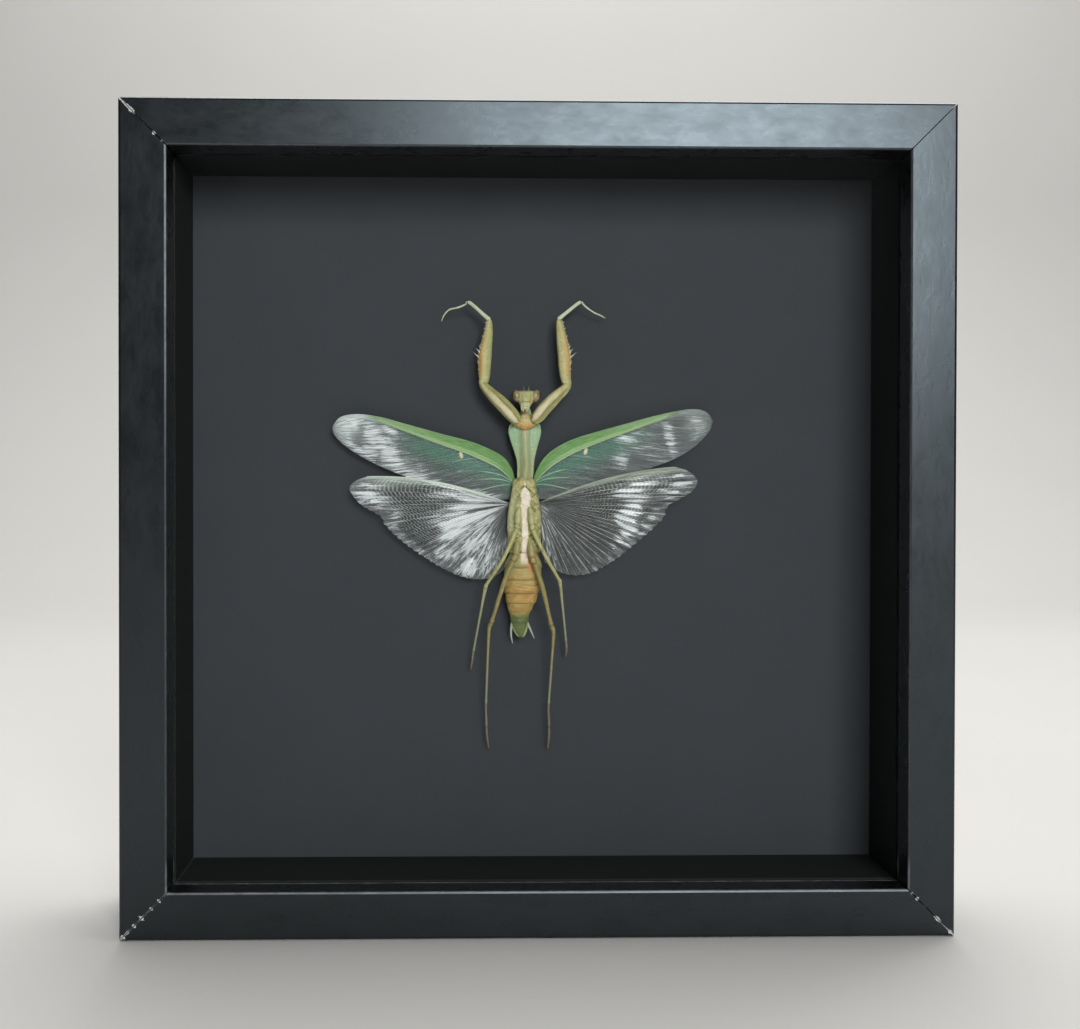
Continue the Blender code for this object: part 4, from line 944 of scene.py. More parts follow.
def hindwing_finish(settings):
    """Smoky clear fan: pale rays, rungs of cross-veins, and silver painted as the sheen of its crumples and
    in bars between them
    """
    wing = Finish("hindwing membrane", Roughness=0.3, Specular_IOR_Level=0.5)
    s, r = wing.pattern()
    painted_sheen_mask, rays, edge, frost = wing.values("painted_sheen_mask", "rays", "edge", "frost")
    rim, barred, band = wing.values("rim", "barred", "band")
    streaks = wing.noise(wing.vector(s * 60.0, r * 6.0), 1.0, 4.0, 0.66, 0.9)
    # Painted highlight streaks across the fan, most in the painted sheen patches
    bright = (streaks + painted_sheen_mask * 0.34 - 0.27).rise(0.36, 0.53)
    sway = wing.noise(wing.vector(s * 9.0, r * 3.0), 1.0, 2.0)
    fold = (s * (2.0 * PLEAT_COUNT)).math("FLOOR")
    net = wing.vector(s * 120.0, r * 42.0 + streaks * 0.6)
    cross = wing.cells(net, 1.0, "DISTANCE_TO_EDGE").rise(0.10, 0.02)
    rungs = (r * 76.0 * math.pi + fold * 1.9 + sway * 5.0).sine().rise(0.0, 0.6) * r.rise(0.20, 0.42)
    rungs = rungs * r.rise(0.96, 0.80) * (0.40 + streaks.rise(0.35, 0.6) * 0.60)
    bars = ((s * 21.5 - r * 2.2 + streaks * 0.5) * 2.0 * math.pi).sine().rise(-0.55, 0.30)
    # The silver painted sheen, standing in for reflected light, broken into bars where barred and a little
    # under the rungs
    painted_sheen = (painted_sheen_mask * 0.40 + bright * (0.20 + painted_sheen_mask * 0.70)) * (1.0 - barred * (1.0 - bars) * 0.85)
    painted_sheen = (painted_sheen * (1.0 - rungs * 0.10)).least(1.0)
    lines = rays.rise(0.10, 0.55) * (0.45 + streaks.rise(0.35, 0.60) * 0.55)
    dark = wing.mix(streaks.rise(0.35, 0.65), settings.fan, (0.20, 0.225, 0.22))
    rung = wing.mix(barred.rise(0.4, 0.7), (0.46, 0.51, 0.50), (0.34, 0.35, 0.31))
    leading = wing.mix(barred.rise(0.4, 0.7), (0.70, 0.78, 0.69), (0.36, 0.42, 0.32))
    front = edge.rise(0.2, 0.8).most(band * (0.35 + streaks * 1.0)).least(1.0)
    tone = wing.layers(
        wing.shade(dark, 0.7),
        (rungs * 0.85, rung),
        (painted_sheen, wing.shade(settings.painted_sheen, 0.72 + streaks * 0.50)),
        (cross * 0.10, CROSS_VEIN),
        (lines * (1.0 - painted_sheen * 0.7) * 0.9, (0.62, 0.65, 0.62)),
        ((frost * (0.35 + streaks * 0.7)).least(1.0), (0.56, 0.65, 0.56)),
        (rim * 0.30 * streaks.rise(0.40, 0.55), (0.50, 0.54, 0.52)),
        (front * 0.9, wing.shade(leading, 0.7 + streaks * 0.6)))
    solid = 0.15 + painted_sheen * 0.58 + lines * 0.44 + cross * 0.03 + rungs * 0.26 * (s.rise(0.62, 0.40) + 0.25)
    solid = solid + frost * 0.26 + rim * 0.10
    wing.feed("Alpha", solid.most(front * 0.86).least(1.0))
    wing.feed("Metallic", painted_sheen * 0.12)
    height = streaks * 0.9 + cross * 0.15 + rungs * 0.4
    return wing.complete(tone, 0.40 - painted_sheen * 0.13 + streaks * 0.08, height, 0.00010)


def ring_of(x, half_x, z, h, rise):
    """Points of one or more body rings: x + half width cos a, and h + rise, over the angles"""
    angles = angles_of(rise.shape[1])
    return place(x + half_x * np.cos(angles), np.broadcast_to(z, rise.shape), h + rise)


def body_rows(rows, count):
    """Rows of numbers read smoothly at count places from the first to the last"""
    return [column[:, None] for column in along(smooth_line(rows, 24), even(count)).T]


def closing(z, length):
    """Rounds a body off at both ends: 0 at its first and last row and 1 from a short length inwards"""
    ahead, behind = np.abs(z - z[0]), np.abs(z - z[-1])
    inwards = np.clip(np.minimum(ahead, behind) / length, 0.02, 1)
    return (1 - (1 - inwards) ** 2) ** 0.5


# Rows down the head: z, x, half width, h, depth towards the front and the back
HEAD_ROWS = [
    (41.1, -2.9, 2.6, 7.7, 1.0, 1.1), (40.6, -2.9, 3.3, 7.8, 1.6, 1.7), (39.6, -2.9, 3.4, 7.9, 2.0, 2.0),
    (38.3, -2.9, 2.95, 8.1, 2.2, 2.0), (37.3, -3.0, 2.35, 8.3, 2.2, 1.9), (36.2, -3.15, 1.8, 8.6, 2.0, 1.7),
    (35.2, -3.3, 1.35, 8.8, 1.6, 1.4), (34.7, -3.4, 1.0, 8.9, 1.2, 1.0), (34.4, -3.4, 0.6, 8.9, 0.7, 0.6),
]


def make_head(finish, eye_finish):
    """A triangular face: rings of half width and belly or back depth, with brow, shield and lip as relief"""
    z, middle, half, h, belly, back = body_rows(HEAD_ROWS, 90)
    angles = angles_of(72)
    swell, across = np.sin(angles), np.cos(angles)
    face = step(swell, 0.15, 0.6)
    seam = hump(z, 37.2 + 0.5 * across**2, 0.12) + 0.8 * hump(z, 35.7, 0.10)
    side_seam = hump(np.abs(across), 0.55 - 0.04 * (z - 36), 0.05)
    side_seam = side_seam * step(z, 36.5, 37.4) * (1 - step(z, 39.4, 40.2))
    lumps = undulation(1 - even(90)[:, None], angles / (2 * math.pi), 14, 12, 31)
    brow = hump(z, 38.4, 0.9) * hump(across, 0, 0.4)
    relief = face * (-0.16 * seam - 0.14 * side_seam + 0.18 * brow) + 0.05 * lumps
    depth = np.where(swell > 0, belly, back) * swell
    shut = closing(z, 0.6)
    shell = Shell("seam", "soft")
    shell.tube(ring_of(middle, half * shut, z, h, (depth + relief) * shut),
               seam=np.clip(face * (seam + side_seam), 0, 1), soft=step(37.6 - z, 0, 2.0))
    for side in (-1, 1):
        for x, top, bottom, wide in ((0.95, 36.3, 34.5, 0.22), (0.45, 35.2, 33.9, 0.22)):
            feeler = [(-3.3 + side * x, top, 10.0, wide),
                      (-3.35 + side * (x + 0.25), (top + bottom) / 2, 10.3, wide),
                      (-3.4 + side * (x - 0.1), bottom, 10.0, wide * 0.8)]
            shell.tube(limb_rings(smooth_line(feeler, 8), 10), soft=1.0)
    for x in (-3.65, -2.15):
        shell.cones(place(x, 41.0, 8.8), place(x * 1.03, 42.6, 9.0), 0.22 * MM, 8, seam=1.0)
    for x, top in ((-2.9, 40.9), (-3.5, 40.5), (-2.3, 40.5)):
        shell.tube(bead_rings((x, top - 0.2, 9.3), (0.24, 0.24, 0.3), 12), seam=0.7)
    shell.make("head_capsule", finish, "cuticle_tan", "head")
    eyes = Shell("rim", "spot")
    for side, x in ((-1, -6.0), (1, 0.25)):
        rings = bead_rings((x - 0.04 * side, 39.15, 8.1), (1.60, 2.05, 1.9), 40)
        lean = (rings[..., 2] - MIDDLE_Z) / MM - 39.15
        rings[..., 0] += side * (0.22 * lean - 0.06 * lean**2) * MM
        out = (rings[..., 0] / MM - x) * side
        # The spot is where each eye's painted glint goes: a pale patch on the eye's front half
        spot = hump(out, -0.1, 0.55) * hump(rings[..., 2] / MM - MIDDLE_Z / MM, 39.3, 0.75)
        eyes.tube(rings, rim=step(out, 0.5, 1.7), spot=spot * (rings[..., 1] < CARD_FACE - 8.6 * MM))
    eyes.make("eyes", eye_finish, "cuticle_tan")


def bead_rings(middle, halves, sides):
    """An ellipsoid as rings across z: x = a sin t cos p, h = c sin t sin p, z = b cos t"""
    t = (0.03 + 0.94 * even(sides // 2 + 2))[:, None] * math.pi
    p = angles_of(sides)
    x = middle[0] + halves[0] * np.sin(t) * np.cos(p)
    h = middle[2] + halves[2] * np.sin(t) * np.sin(p)
    return place(x, middle[1] + halves[1] * np.cos(t) + 0 * p, h)


# Rows down the neck shield: z, x, half width, h, height of the keel
SHIELD_ROWS = [
    (36.3, -3.0, 1.0, 4.8, 0.5), (35.4, -3.0, 1.5, 5.0, 0.9), (33.6, -3.05, 2.1, 5.1, 1.1),
    (31.6, -3.1, 3.3, 5.1, 1.2), (30.3, -3.15, 4.75, 5.1, 1.1), (29.2, -3.2, 5.15, 5.1, 1.0),
    (27.4, -3.2, 5.2, 5.1, 1.0), (24.3, -3.15, 4.35, 5.1, 1.1), (21.5, -3.05, 3.5, 5.1, 1.3),
    (18.9, -2.95, 2.85, 5.2, 1.4), (16.2, -2.95, 2.6, 5.3, 1.5), (13.7, -3.1, 2.6, 5.4, 1.5),
    (12.4, -3.2, 2.4, 5.4, 1.4),
]


def make_shield(finish):
    """The long neck: thin leaf-like sides around a keel.

    Across a ring the belly side rises by a thin arch plus a keel that is 1 - (x / keel half)2, less
    a groove on each side of the keel; the back is one arch. Small teeth line the edges.
    """
    z, middle, half, h, keel = body_rows(SHIELD_ROWS, 150)
    angles = angles_of(96)
    across = half * np.cos(angles)
    arch = np.sqrt(np.clip(1 - (across / half) ** 2, 0, 1))
    keel_half = np.minimum(1.9, half)
    ridge = keel * np.clip(1 - (across / keel_half) ** 2, 0, 1) ** 1.2
    grooves = 0.22 * hump(np.abs(across), keel_half * 0.62, 0.28) * arch
    spine = 0.16 * hump(across, 0, 0.22)
    folds = 0.06 * lumps_on(150, angles, 44, 14, 41)
    collar = 0.25 * hump(z, 31.3 - 0.10 * across**2, 0.25)
    belly = 0.32 * arch + ridge + (spine - grooves + folds - collar) * step(arch, 0, 0.5)
    rise = np.where(np.sin(angles) >= 0, belly, -1.2 * arch + folds * arch)
    shut = closing(z, 0.8)
    shell = Shell("rib", "seam")
    on_belly = step(np.sin(angles), 0.0, 0.12)
    rib = on_belly * (1 - step(np.abs(across), keel_half * 0.25, keel_half * 1.25))
    shell.tube(ring_of(middle, half * shut, z, h, rise * shut), rib=rib * (0.55 + 0.45 * step(z, 22.0, 30.0)),
               seam=np.clip(on_belly * (4 * collar + 2 * grooves), 0, 1))
    levels = np.linspace(30.0, 14.6, 34)
    row = np.array(SHIELD_ROWS)[::-1]
    centre, width = (np.interp(levels, row[:, 0], row[:, k]) for k in (1, 2))
    for side in (-1, 1):
        edge = centre + side * (width - 0.10)
        tips = place(edge + side * 0.34, levels - 0.1, 5.2)
        shell.cones(place(edge, levels, 5.1), tips, 0.13 * MM, 6, seam=0.5)
    shell.make("neck_shield", finish, "cuticle_green", "prothorax")


# Rows down the breast plate: z, x, half width, h, depth
BREAST_ROWS = [
    (34.0, -3.2, 0.9, 6.4, 0.6), (33.0, -3.2, 1.7, 6.6, 1.2), (31.9, -3.2, 2.7, 6.8, 1.5),
    (30.9, -3.15, 3.7, 6.8, 1.5), (30.2, -3.1, 3.9, 6.8, 1.4), (29.4, -3.1, 2.8, 6.7, 1.2),
    (28.8, -3.1, 1.5, 6.6, 0.9), (28.3, -3.1, 0.5, 6.5, 0.5),
]


def make_breastplate(finish):
    """The tan plate between the arms' roots: a shallow shield with a rounded point below"""
    z, middle, half, h, depth = body_rows(BREAST_ROWS, 50)
    angles = angles_of(60)
    pinch = 1 - 0.14 * hump(np.cos(angles), 0, 0.12) * step(np.sin(angles), 0, 1)
    lumps = 1 + 0.06 * lumps_on(50, angles, 12, 12, 47)
    shut = closing(z, 0.5)
    shell = Shell()
    shell.tube(ring_of(middle, half * shut, z, h, depth * np.sin(angles) * pinch * lumps * shut))
    shell.make("breast_plate", finish, "cuticle_tan")


# Rows down the thorax: z, x, half width, h, depth towards the front and the back
THORAX_ROWS = [
    (13.4, -3.4, 2.4, 5.8, 1.2, 1.3), (12.2, -3.45, 3.4, 6.0, 2.2, 1.9), (9.6, -3.4, 3.95, 6.2, 3.0, 2.5),
    (6.3, -3.3, 4.6, 6.3, 3.6, 3.0), (3.6, -3.35, 5.05, 6.3, 3.8, 3.1), (0.6, -3.4, 5.4, 6.3, 3.9, 3.2),
    (-3.1, -3.4, 5.5, 6.3, 3.9, 3.2), (-5.4, -3.4, 5.3, 6.3, 3.7, 3.1), (-7.8, -3.45, 5.45, 6.3, 3.8, 3.1),
    (-10.4, -3.5, 5.3, 6.3, 3.6, 3.0), (-11.6, -3.5, 4.6, 6.3, 3.0, 2.6),
]
# The soft strip: z and half width; spots on its border by z, half length and strength; seams by z and slant
STRIP_WIDTHS = ([-12, -8, -3, -1, 3, 8, 9.3, 10], [0.9, 1.05, 1.1, 1.3, 1.65, 1.7, 0.9, 0.05])
STRIP_SPOTS = ((3.2, 0.5, 1.0), (0.2, 0.5, 1.0), (-2.9, 0.6, 1.0), (8.6, 0.7, 0.7), (-8.0, 0.7, 0.6))
THORAX_SEAMS = ((10.6, 0.9), (5.4, -0.7), (1.2, 0.9), (-4.6, 0.7), (-6.4, -0.6), (-10.0, 0.5))


def make_thorax(finish):
    """The wing-bearing body: a soft middle strip between hard plates cut by slanting seams"""
    z, middle, half, h, belly, back = body_rows(THORAX_ROWS, 200)
    angles = angles_of(110)
    across, swell = np.cos(angles) * half, np.sin(angles)
    front = step(swell, 0.0, 0.35)
    width = np.interp(z, *STRIP_WIDTHS)
    edge = np.abs(across - 0.15) + 0.34 * lumps_on(200, angles, 20, 12, 50)
    strip = (1 - step(edge, width * 0.55, width * 1.25)) * front
    spots = sum(share * hump(z, at, wide) for at, wide, share in STRIP_SPOTS)
    border = (0.35 + 0.8 * spots) * hump(edge, width * 1.25 + 0.15, 0.30) * front
    seams = np.maximum.reduce([hump(z, start - slant * np.abs(across), 0.16)
                               for start, slant in THORAX_SEAMS])
    seams = seams * front * (1 - strip)
    bosses = sum(rise * hump(z, at, long) * hump(np.abs(across + 0.1), out, 0.9) * front
                 for rise, at, long, out in ((0.45, 3.0, 1.6, 2.0), (0.40, -7.4, 1.5, 2.2)))
    lumps = 0.30 * lumps_on(200, angles, 26, 18, 51) + 0.13 * lumps_on(200, angles, 90, 50, 52)
    relief = lumps - 0.26 * seams - 0.18 * border + bosses + 0.10 * strip
    depth = np.where(swell > 0, belly, back) * swell
    shut = closing(z, 0.9)
    shell = Shell("strip", "seam")
    shell.tube(ring_of(middle, half * shut, z, h, (depth + relief) * shut), strip=strip,
               seam=np.clip(0.8 * seams + border * 0.5, 0, 1))
    shell.make("thorax_plates", finish, "cuticle_tan", "thorax")


# Rows down the abdomen: z, x, half width; then the plates' edges, and the tail feelers' stations
ABDOMEN_ROWS = [
    (-10.4, -3.5, 4.0), (-11.9, -3.5, 4.9), (-14.5, -3.65, 5.9), (-17.4, -3.85, 6.15), (-21.9, -3.95, 5.95),
    (-24.3, -4.1, 5.6), (-26.6, -4.3, 5.0), (-29.0, -4.65, 4.1), (-31.3, -4.8, 3.25), (-33.6, -4.8, 2.85),
    (-36.2, -4.6, 2.3), (-38.0, -4.4, 1.3), (-38.6, -4.3, 0.55),
]
PLATE_EDGES = (-10.4, -15.9, -19.8, -24.2, -27.4, -30.2, -33.2, -38.7)
TAIL_FEELERS = (
    [(-6.3, -32.0, 5.6, 0.42), (-7.3, -34.4, 5.4, 0.42), (-7.55, -37.6, 5.1, 0.30), (-7.0, -40.5, 4.8, 0.10)],
    [(-3.2, -32.2, 5.6, 0.42), (-2.2, -34.0, 5.4, 0.42), (-1.1, -36.4, 5.1, 0.30), (0.0, -38.9, 4.8, 0.10)],
)


def make_abdomen(finish):
    """Overlapping belly plates: within each plate the radius grows evenly, then drops at its rear edge.

    A pleated seam runs down each side, and the last plate has a notch and a raised rim.
    """
    z, middle, half = body_rows(ABDOMEN_ROWS, 300)
    angles = angles_of(110)
    edges = np.array(PLATE_EDGES)
    number = np.clip(np.searchsorted(-edges, -z[:, 0], side="right") - 1, 0, len(edges) - 2)
    start, end = edges[number][:, None], edges[number + 1][:, None]
    bowed = z + 0.35 * np.cos(angles) ** 2
    share = np.clip((start - bowed) / (start - end), 0, 1)
    lap = 0.955 + 0.055 * share - 0.045 * step(share, 0.965, 1.0)
    swell, across = np.sin(angles), np.cos(angles)
    front = step(swell, 0.0, 0.3)
    side_fold = hump(swell, 0.12, 0.10) * (0.6 + 0.4 * np.sin(z * 9.0))
    wrinkle, dents = lumps_on(300, angles, 120, 12, 61), lumps_on(300, angles, 16, 12, 62)
    last = step(-z, 33.4, 34.0)
    notch = hump(across, 0, 0.35) * last
    depth = np.where(swell > 0, 0.68, 0.54) * half
    rear = hump(share, 0.97, 0.05)
    relief = 0.05 * wrinkle + 0.10 * dents - 0.15 * side_fold + 0.12 * rear - 0.25 * notch * front
    rise = depth * lap * swell + relief * step(half, 0.3, 2.0)
    shut = closing(z, 0.5)
    shell = Shell("rear", "side", "feeler", "tip")
    shell.tube(ring_of(middle, half * lap * shut, z, 6.1 + 0.035 * (z + 12), rise * shut),
               rear=step(share, 0.66, 0.99) ** 1.5 * (1 - last * 0.6), side=hump(swell, 0.10, 0.16),
               tip=step(np.abs(across) - 0.10 * (z + 36.0), 0.62, 0.88) * front)
    for stations in TAIL_FEELERS:
        line = along(smooth_line(stations), even(90))
        line[:, 3] *= 1 + 0.16 * np.sin(even(90) * 2 * math.pi * 11)
        shell.tube(limb_rings(line, 14), feeler=1.0)
    shell.make("abdomen_plates", finish, "cuticle_ochre", "abdomen")


def limb_frames(line):
    """Centres along a line of (x, z, h, ...), the run from neighbouring points and two cross directions"""
    centres = place(line[:, 0], line[:, 1], line[:, 2])
    run = unit(np.gradient(centres, axis=0))
    across = unit(np.cross(run, np.array([0.0, -1.0, 0.0])))
    return centres, run, across, np.cross(across, run)


def limb_rings(line, sides, section=1.0):
    """Rings across a line: centre + half width cos a across + half depth sin a lift, times the section"""
    centres, _, across, lift = limb_frames(line)
    half = line[:, 3] * MM
    depth = line[:, 4] * MM if line.shape[1] > 4 else half
    angles = angles_of(sides)
    wide = (half[:, None] * np.cos(angles) * section)[..., None] * across[:, None]
    high = (depth[:, None] * np.sin(angles) * section)[..., None] * lift[:, None]
    return centres[:, None] + wide + high


def segment(line, stations, first, last, count):
    """The stretch of a limb between two stations, its ends rounded as quarter circles of its own width"""
    steps = (len(line) - 1) / (stations - 1)
    cut = line[round(first * steps):round(last * steps) + 1]
    part = along(cut, rounded(count))
    length = np.linalg.norm(np.diff(cut[:, :3], axis=0), axis=1).sum()
    inwards = np.minimum(rounded(count), 1 - rounded(count)) * length
    ends = np.clip(inwards / np.maximum(part[:, 3], 0.05), 0.015, 1)
    part[:, 3:] *= np.sqrt(1 - (1 - ends) ** 2)[:, None]
    return part


# Where an arm's parts begin and end, counted in stations of its line
COXA, ARM_JOINT, FEMUR, SHIN = (0, 6.45), (5.6, 7.6), (6.6, 13.1), (12.95, 17.6)
ARM_TOES = ((17.5, 20.2), (20.05, 21.4), (21.25, 22.3), (22.15, 23.2), (23.05, 24.0))
# Where the joints of a walking leg's foot lie, as shares of the foot
TOE_SHARES = (0.0, 0.44, 0.62, 0.74, 0.83, 1.0)


def make_foreleg(name, side, finish):
    """A grasping arm: ridged coxa, small joint, broad spined femur, slim toothed shin, thread-like foot"""
    stations = FORELEGS[name]
    count = len(stations)
    line = smooth_line(stations)
    shell = Shell("seam", "ochre", "pale", "part")
    angles = angles_of(40)
    outer = np.cos(angles) * side
    crease = 1 + 0.07 * np.cos(angles * 3 + 0.6) - 0.10 * hump(np.sin(angles), 0.55, 0.16) * (outer > 0)
    lumps = 1 + 0.03 * lumps_on(110, angles, 14, 8, 71)
    coxa = segment(line, count, *COXA, 110)
    shell.tube(limb_rings(coxa, 40, crease * lumps), seam=hump(even(110), 0.985, 0.03)[:, None], part=0.1)
    shell.tube(limb_rings(segment(line, count, *ARM_JOINT, 40), 32), part=0.3, pale=0.1)
    keel = 1 + 0.05 * np.cos(angles * 2) - 0.14 * hump(np.sin(angles), 0.35, 0.2) * (outer > 0.3)
    reach = even(120)[:, None]
    ochre = step(outer, -0.1 - 0.35 * (side > 0), 0.8) * (1 - step(reach, 0.45, 0.75 + 0.1 * (side > 0)))
    tip_seam = hump(reach, 0.0, 0.03) + hump(reach, 1.0, 0.02)
    shell.tube(limb_rings(segment(line, count, *FEMUR, 120), 40, keel), ochre=ochre, seam=tip_seam, part=0.5)
    ridges = 1 + 0.06 * np.cos(angles_of(24) * 4)
    shell.tube(limb_rings(segment(line, count, *SHIN, 80), 24, ridges), pale=0.75, part=0.7)
    add_arm_spines(shell, line, count, side)
    for number, cut in enumerate(ARM_TOES):
        part = segment(line, count, *cut, 30)
        part[:, 3:] *= (0.75 + 0.35 * rounded(30))[:, None]
        dark = step(even(30), 0.86, 1.0)[:, None]
        shell.tube(limb_rings(part, 14), pale=0.9 - 0.1 * number, seam=dark * 0.8, part=0.9)
    add_claws(shell, line, 0.55)
    shell.make(name + "_arm", finish, "cuticle_tan", name)


def add_arm_spines(shell, line, count, side):
    """Two rows of spines on the femur's outer edge, four long ones between, teeth and a hook on the shin"""
    steps = (len(line) - 1) / (count - 1)
    centres, run, across, lift = limb_frames(line)
    half, depth = line[:, 3:4] * MM, line[:, 4:5] * MM
    outwards = across * side

    def rows_at(places):
        return np.round(np.asarray(places) * steps).astype(int)

    at = rows_at(np.linspace(7.5, 12.4, 15))
    odd = np.arange(15) % 2
    for angle in (0.55, -0.55):
        wide, high = math.cos(angle), math.sin(angle)
        roots = centres[at] + 0.93 * (half[at] * wide * outwards[at] + depth[at] * high * lift[at])
        length = (0.55 + 0.35 * odd)[:, None] * MM
        tips = roots + length * (outwards[at] * 0.9 + run[at] * 0.35 + lift[at] * high * 0.5)
        shell.cones(roots, tips, 0.17 * MM, 6, pale=0.95, seam=np.where(odd, 0.0, 0.35), part=0.6)
    at = rows_at([8.4, 8.9, 9.3, 9.7])
    roots = centres[at] + 0.8 * half[at] * outwards[at] + 0.2 * depth[at] * lift[at]
    length = np.array([1.2, 3.0, 1.9, 1.3])[:, None] * MM
    tips = roots + length * (outwards[at] * 0.75 + np.array([0.0, -0.15, 0.62]))
    shell.cones(roots, tips, 0.27 * MM, 8, pale=1.0, part=0.6)
    at = rows_at(np.linspace(13.8, 17.2, 14))
    roots = centres[at] + 0.85 * half[at] * outwards[at]
    tips = roots + 0.32 * MM * (outwards[at] + 0.3 * lift[at])
    shell.cones(roots, tips, 0.09 * MM, 6, pale=0.6, seam=0.4, part=0.7)
    root = centres[round(17.5 * steps)]
    tip = root + np.array([side * 1.45, -0.1, -0.75]) * MM
    shell.cones(root, tip, 0.30 * MM, 10, pale=0.2, seam=0.5, part=0.7)


def add_claws(shell, line, length):
    """Two small claws that spread from a foot's end"""
    centres, run, across, lift = limb_frames(line)
    roots = np.stack([centres[-1] - run[-1] * 0.15 * MM] * 2)
    spread = np.stack([across[-1], -across[-1]])
    tips = roots + length * MM * (0.75 * run[-1] + 0.55 * spread - 0.15 * lift[-1])
    shell.cones(roots, tips, 0.085 * MM, 6, seam=1.0, pale=0.2, reach=1.0, part=1.0)


def make_walking_leg(name, stations, finish, knee, foot):
    """A stilt-like leg: coxa, small joint, tapering femur, ridged shin with spurs, foot of five joints"""
    total = len(stations) - 1
    line = smooth_line([(*spot, spot[3]) for spot in stations])
    steps = (len(line) - 1) / total
    shell = Shell("seam", "pale", "reach")
    cuts = [(0, 3.05, 60, 28), (2.85, 3.75, 30, 24), (3.6, knee + 0.08, 110, 28),
            (knee - 0.05, foot + 0.02, 110, 24)]
    for number, (first, last, rows, sides) in enumerate(cuts):
        part = segment(line, total + 1, first, last, rows)
        share = rounded(rows)[:, None]
        if number >= 2:
            part[:, 3:] *= 0.80 + 0.18 * hump(share, 0.02, 0.05) + 0.20 * hump(share, 0.97, 0.03)
        ridges = 1 + (0.05 if number >= 2 else 0.03) * np.cos(angles_of(sides) * 4)
        seam = 0.8 * hump(share, 1.0, 0.02) + 0.6 * hump(share, 0.0, 0.02)
        reach = (first + (last - first) * share) / total
        shell.tube(limb_rings(part, sides, ridges), seam=seam, reach=reach, pale=0.2 * (number == 0))
    centres, run, across, _ = limb_frames(line)
    end = round(foot * steps)
    spurs = np.stack([across[end], -across[end]])
    roots = centres[end] + 0.2 * MM * spurs
    tips = roots + 0.7 * MM * (run[end - 1] + 0.5 * spurs)
    shell.cones(roots, tips, 0.10 * MM, 6, seam=0.6, reach=foot / total)
    toes = foot + (total - foot) * np.array(TOE_SHARES)
    for low, high in zip(toes[:-1], toes[1:]):
        part = segment(line, total + 1, low - 0.02, min(high + 0.02, total), 26)
        part[:, 3:] *= (0.72 + 0.36 * rounded(26))[:, None]
        dark = step(even(26), 0.80, 1.0)[:, None]
        last = (high - foot) / (total - foot)
        shell.tube(limb_rings(part, 14), seam=dark * 0.9, reach=0.9 + 0.1 * last)
    hairs = np.round(np.linspace(knee * steps + 6, foot * steps - 4, 26)).astype(int)
    outwards = across[hairs] * np.where(np.arange(26) % 2, 1.0, -1.0)[:, None]
    roots = centres[hairs] + 0.9 * line[hairs, 3:4] * MM * outwards
    shell.cones(roots, roots + 0.22 * MM * (outwards + 0.1), 0.045 * MM, 5, seam=0.3, reach=0.6)
    add_claws(shell, line, 0.6)
    shell.make(name + "_limb", finish, "leg_olive", name)


# The body's middle line lies this far to the left of the card's, in metres
BODY_LEFT = 0.0031


def skin_finish(name, roughness=0.42):
    """Dried insect skin: a Principled shader with a low waxy sheen"""
    return Finish(name, Roughness=roughness, Specular_IOR_Level=0.38, Subsurface_Weight=0.05,
                  Subsurface_Scale=0.001)


def pored_skin(name, roughness=0.42):
    """Dried skin, its coordinates, and its tiny pits and low waves"""
    skin = skin_finish(name, roughness)
    spot = skin.place()
    pits = skin.cells(spot, 5200.0).rise(0.05, 0.45)
    waves = skin.noise(spot, 900.0, 4.0, 0.6, 0.6)
    return skin, spot, pits, waves


def head_skin(settings):
    """Yellow-green face with dried brown seams and a paler mouth"""
    skin, spot, pits, waves = pored_skin("head skin")
    seam, soft = skin.values("seam", "soft")
    patch = skin.noise(spot, 420.0, 3.0, 0.6)
    flecks = skin.noise(spot, 1300.0, 4.0, 0.7)
    _, _, z = skin.parts(spot)
    crown = (z - MIDDLE_Z).rise(0.0392, 0.0412)
    tone = skin.layers(
        skin.mix(patch.rise(0.35, 0.65), settings.tan, (0.44, 0.49, 0.24)),
        (soft * 0.6, (0.60, 0.62, 0.42)),
        (patch.rise(0.56, 0.68) * 0.5, (0.38, 0.27, 0.10)),
        (flecks.rise(0.50, 0.66) * (0.35 + crown * 0.6), (0.30, 0.15, 0.06)),
        ((seam * (0.25 + flecks * 0.7)).least(1.0), settings.brown))
    tone = skin.shade(tone, 0.78 + pits * 0.25 + waves * 0.12)
    return skin.complete(tone, 0.36 + waves * 0.18, pits * 0.5 + waves, 0.00012)


def eye_skin():
    """Dried compound eye: tan and brown with fine facets, dark outer rim and a painted glint, a pale spot on
    its front
    """
    eye = skin_finish("eye", 0.25)
    spot = eye.place()
    facets = eye.cells(spot, 9000.0, "DISTANCE_TO_EDGE").rise(0.0, 0.25)
    patch = eye.noise(spot, 700.0, 3.0, 0.6)
    rim, painted_glint = eye.values("rim", "spot")
    tone = eye.layers(
        eye.mix(patch.rise(0.35, 0.65), (0.26, 0.18, 0.08), (0.48, 0.40, 0.21)),
        ((rim + patch * 0.4 - 0.2).rise(0.20, 0.75), (0.08, 0.04, 0.02)),
        ((painted_glint + patch * 0.3).rise(0.50, 0.95) * 0.8, (0.74, 0.60, 0.42)))
    return eye.complete(eye.shade(tone, 0.75 + facets * 0.3), 0.22 + patch * 0.2, facets, 0.00004)


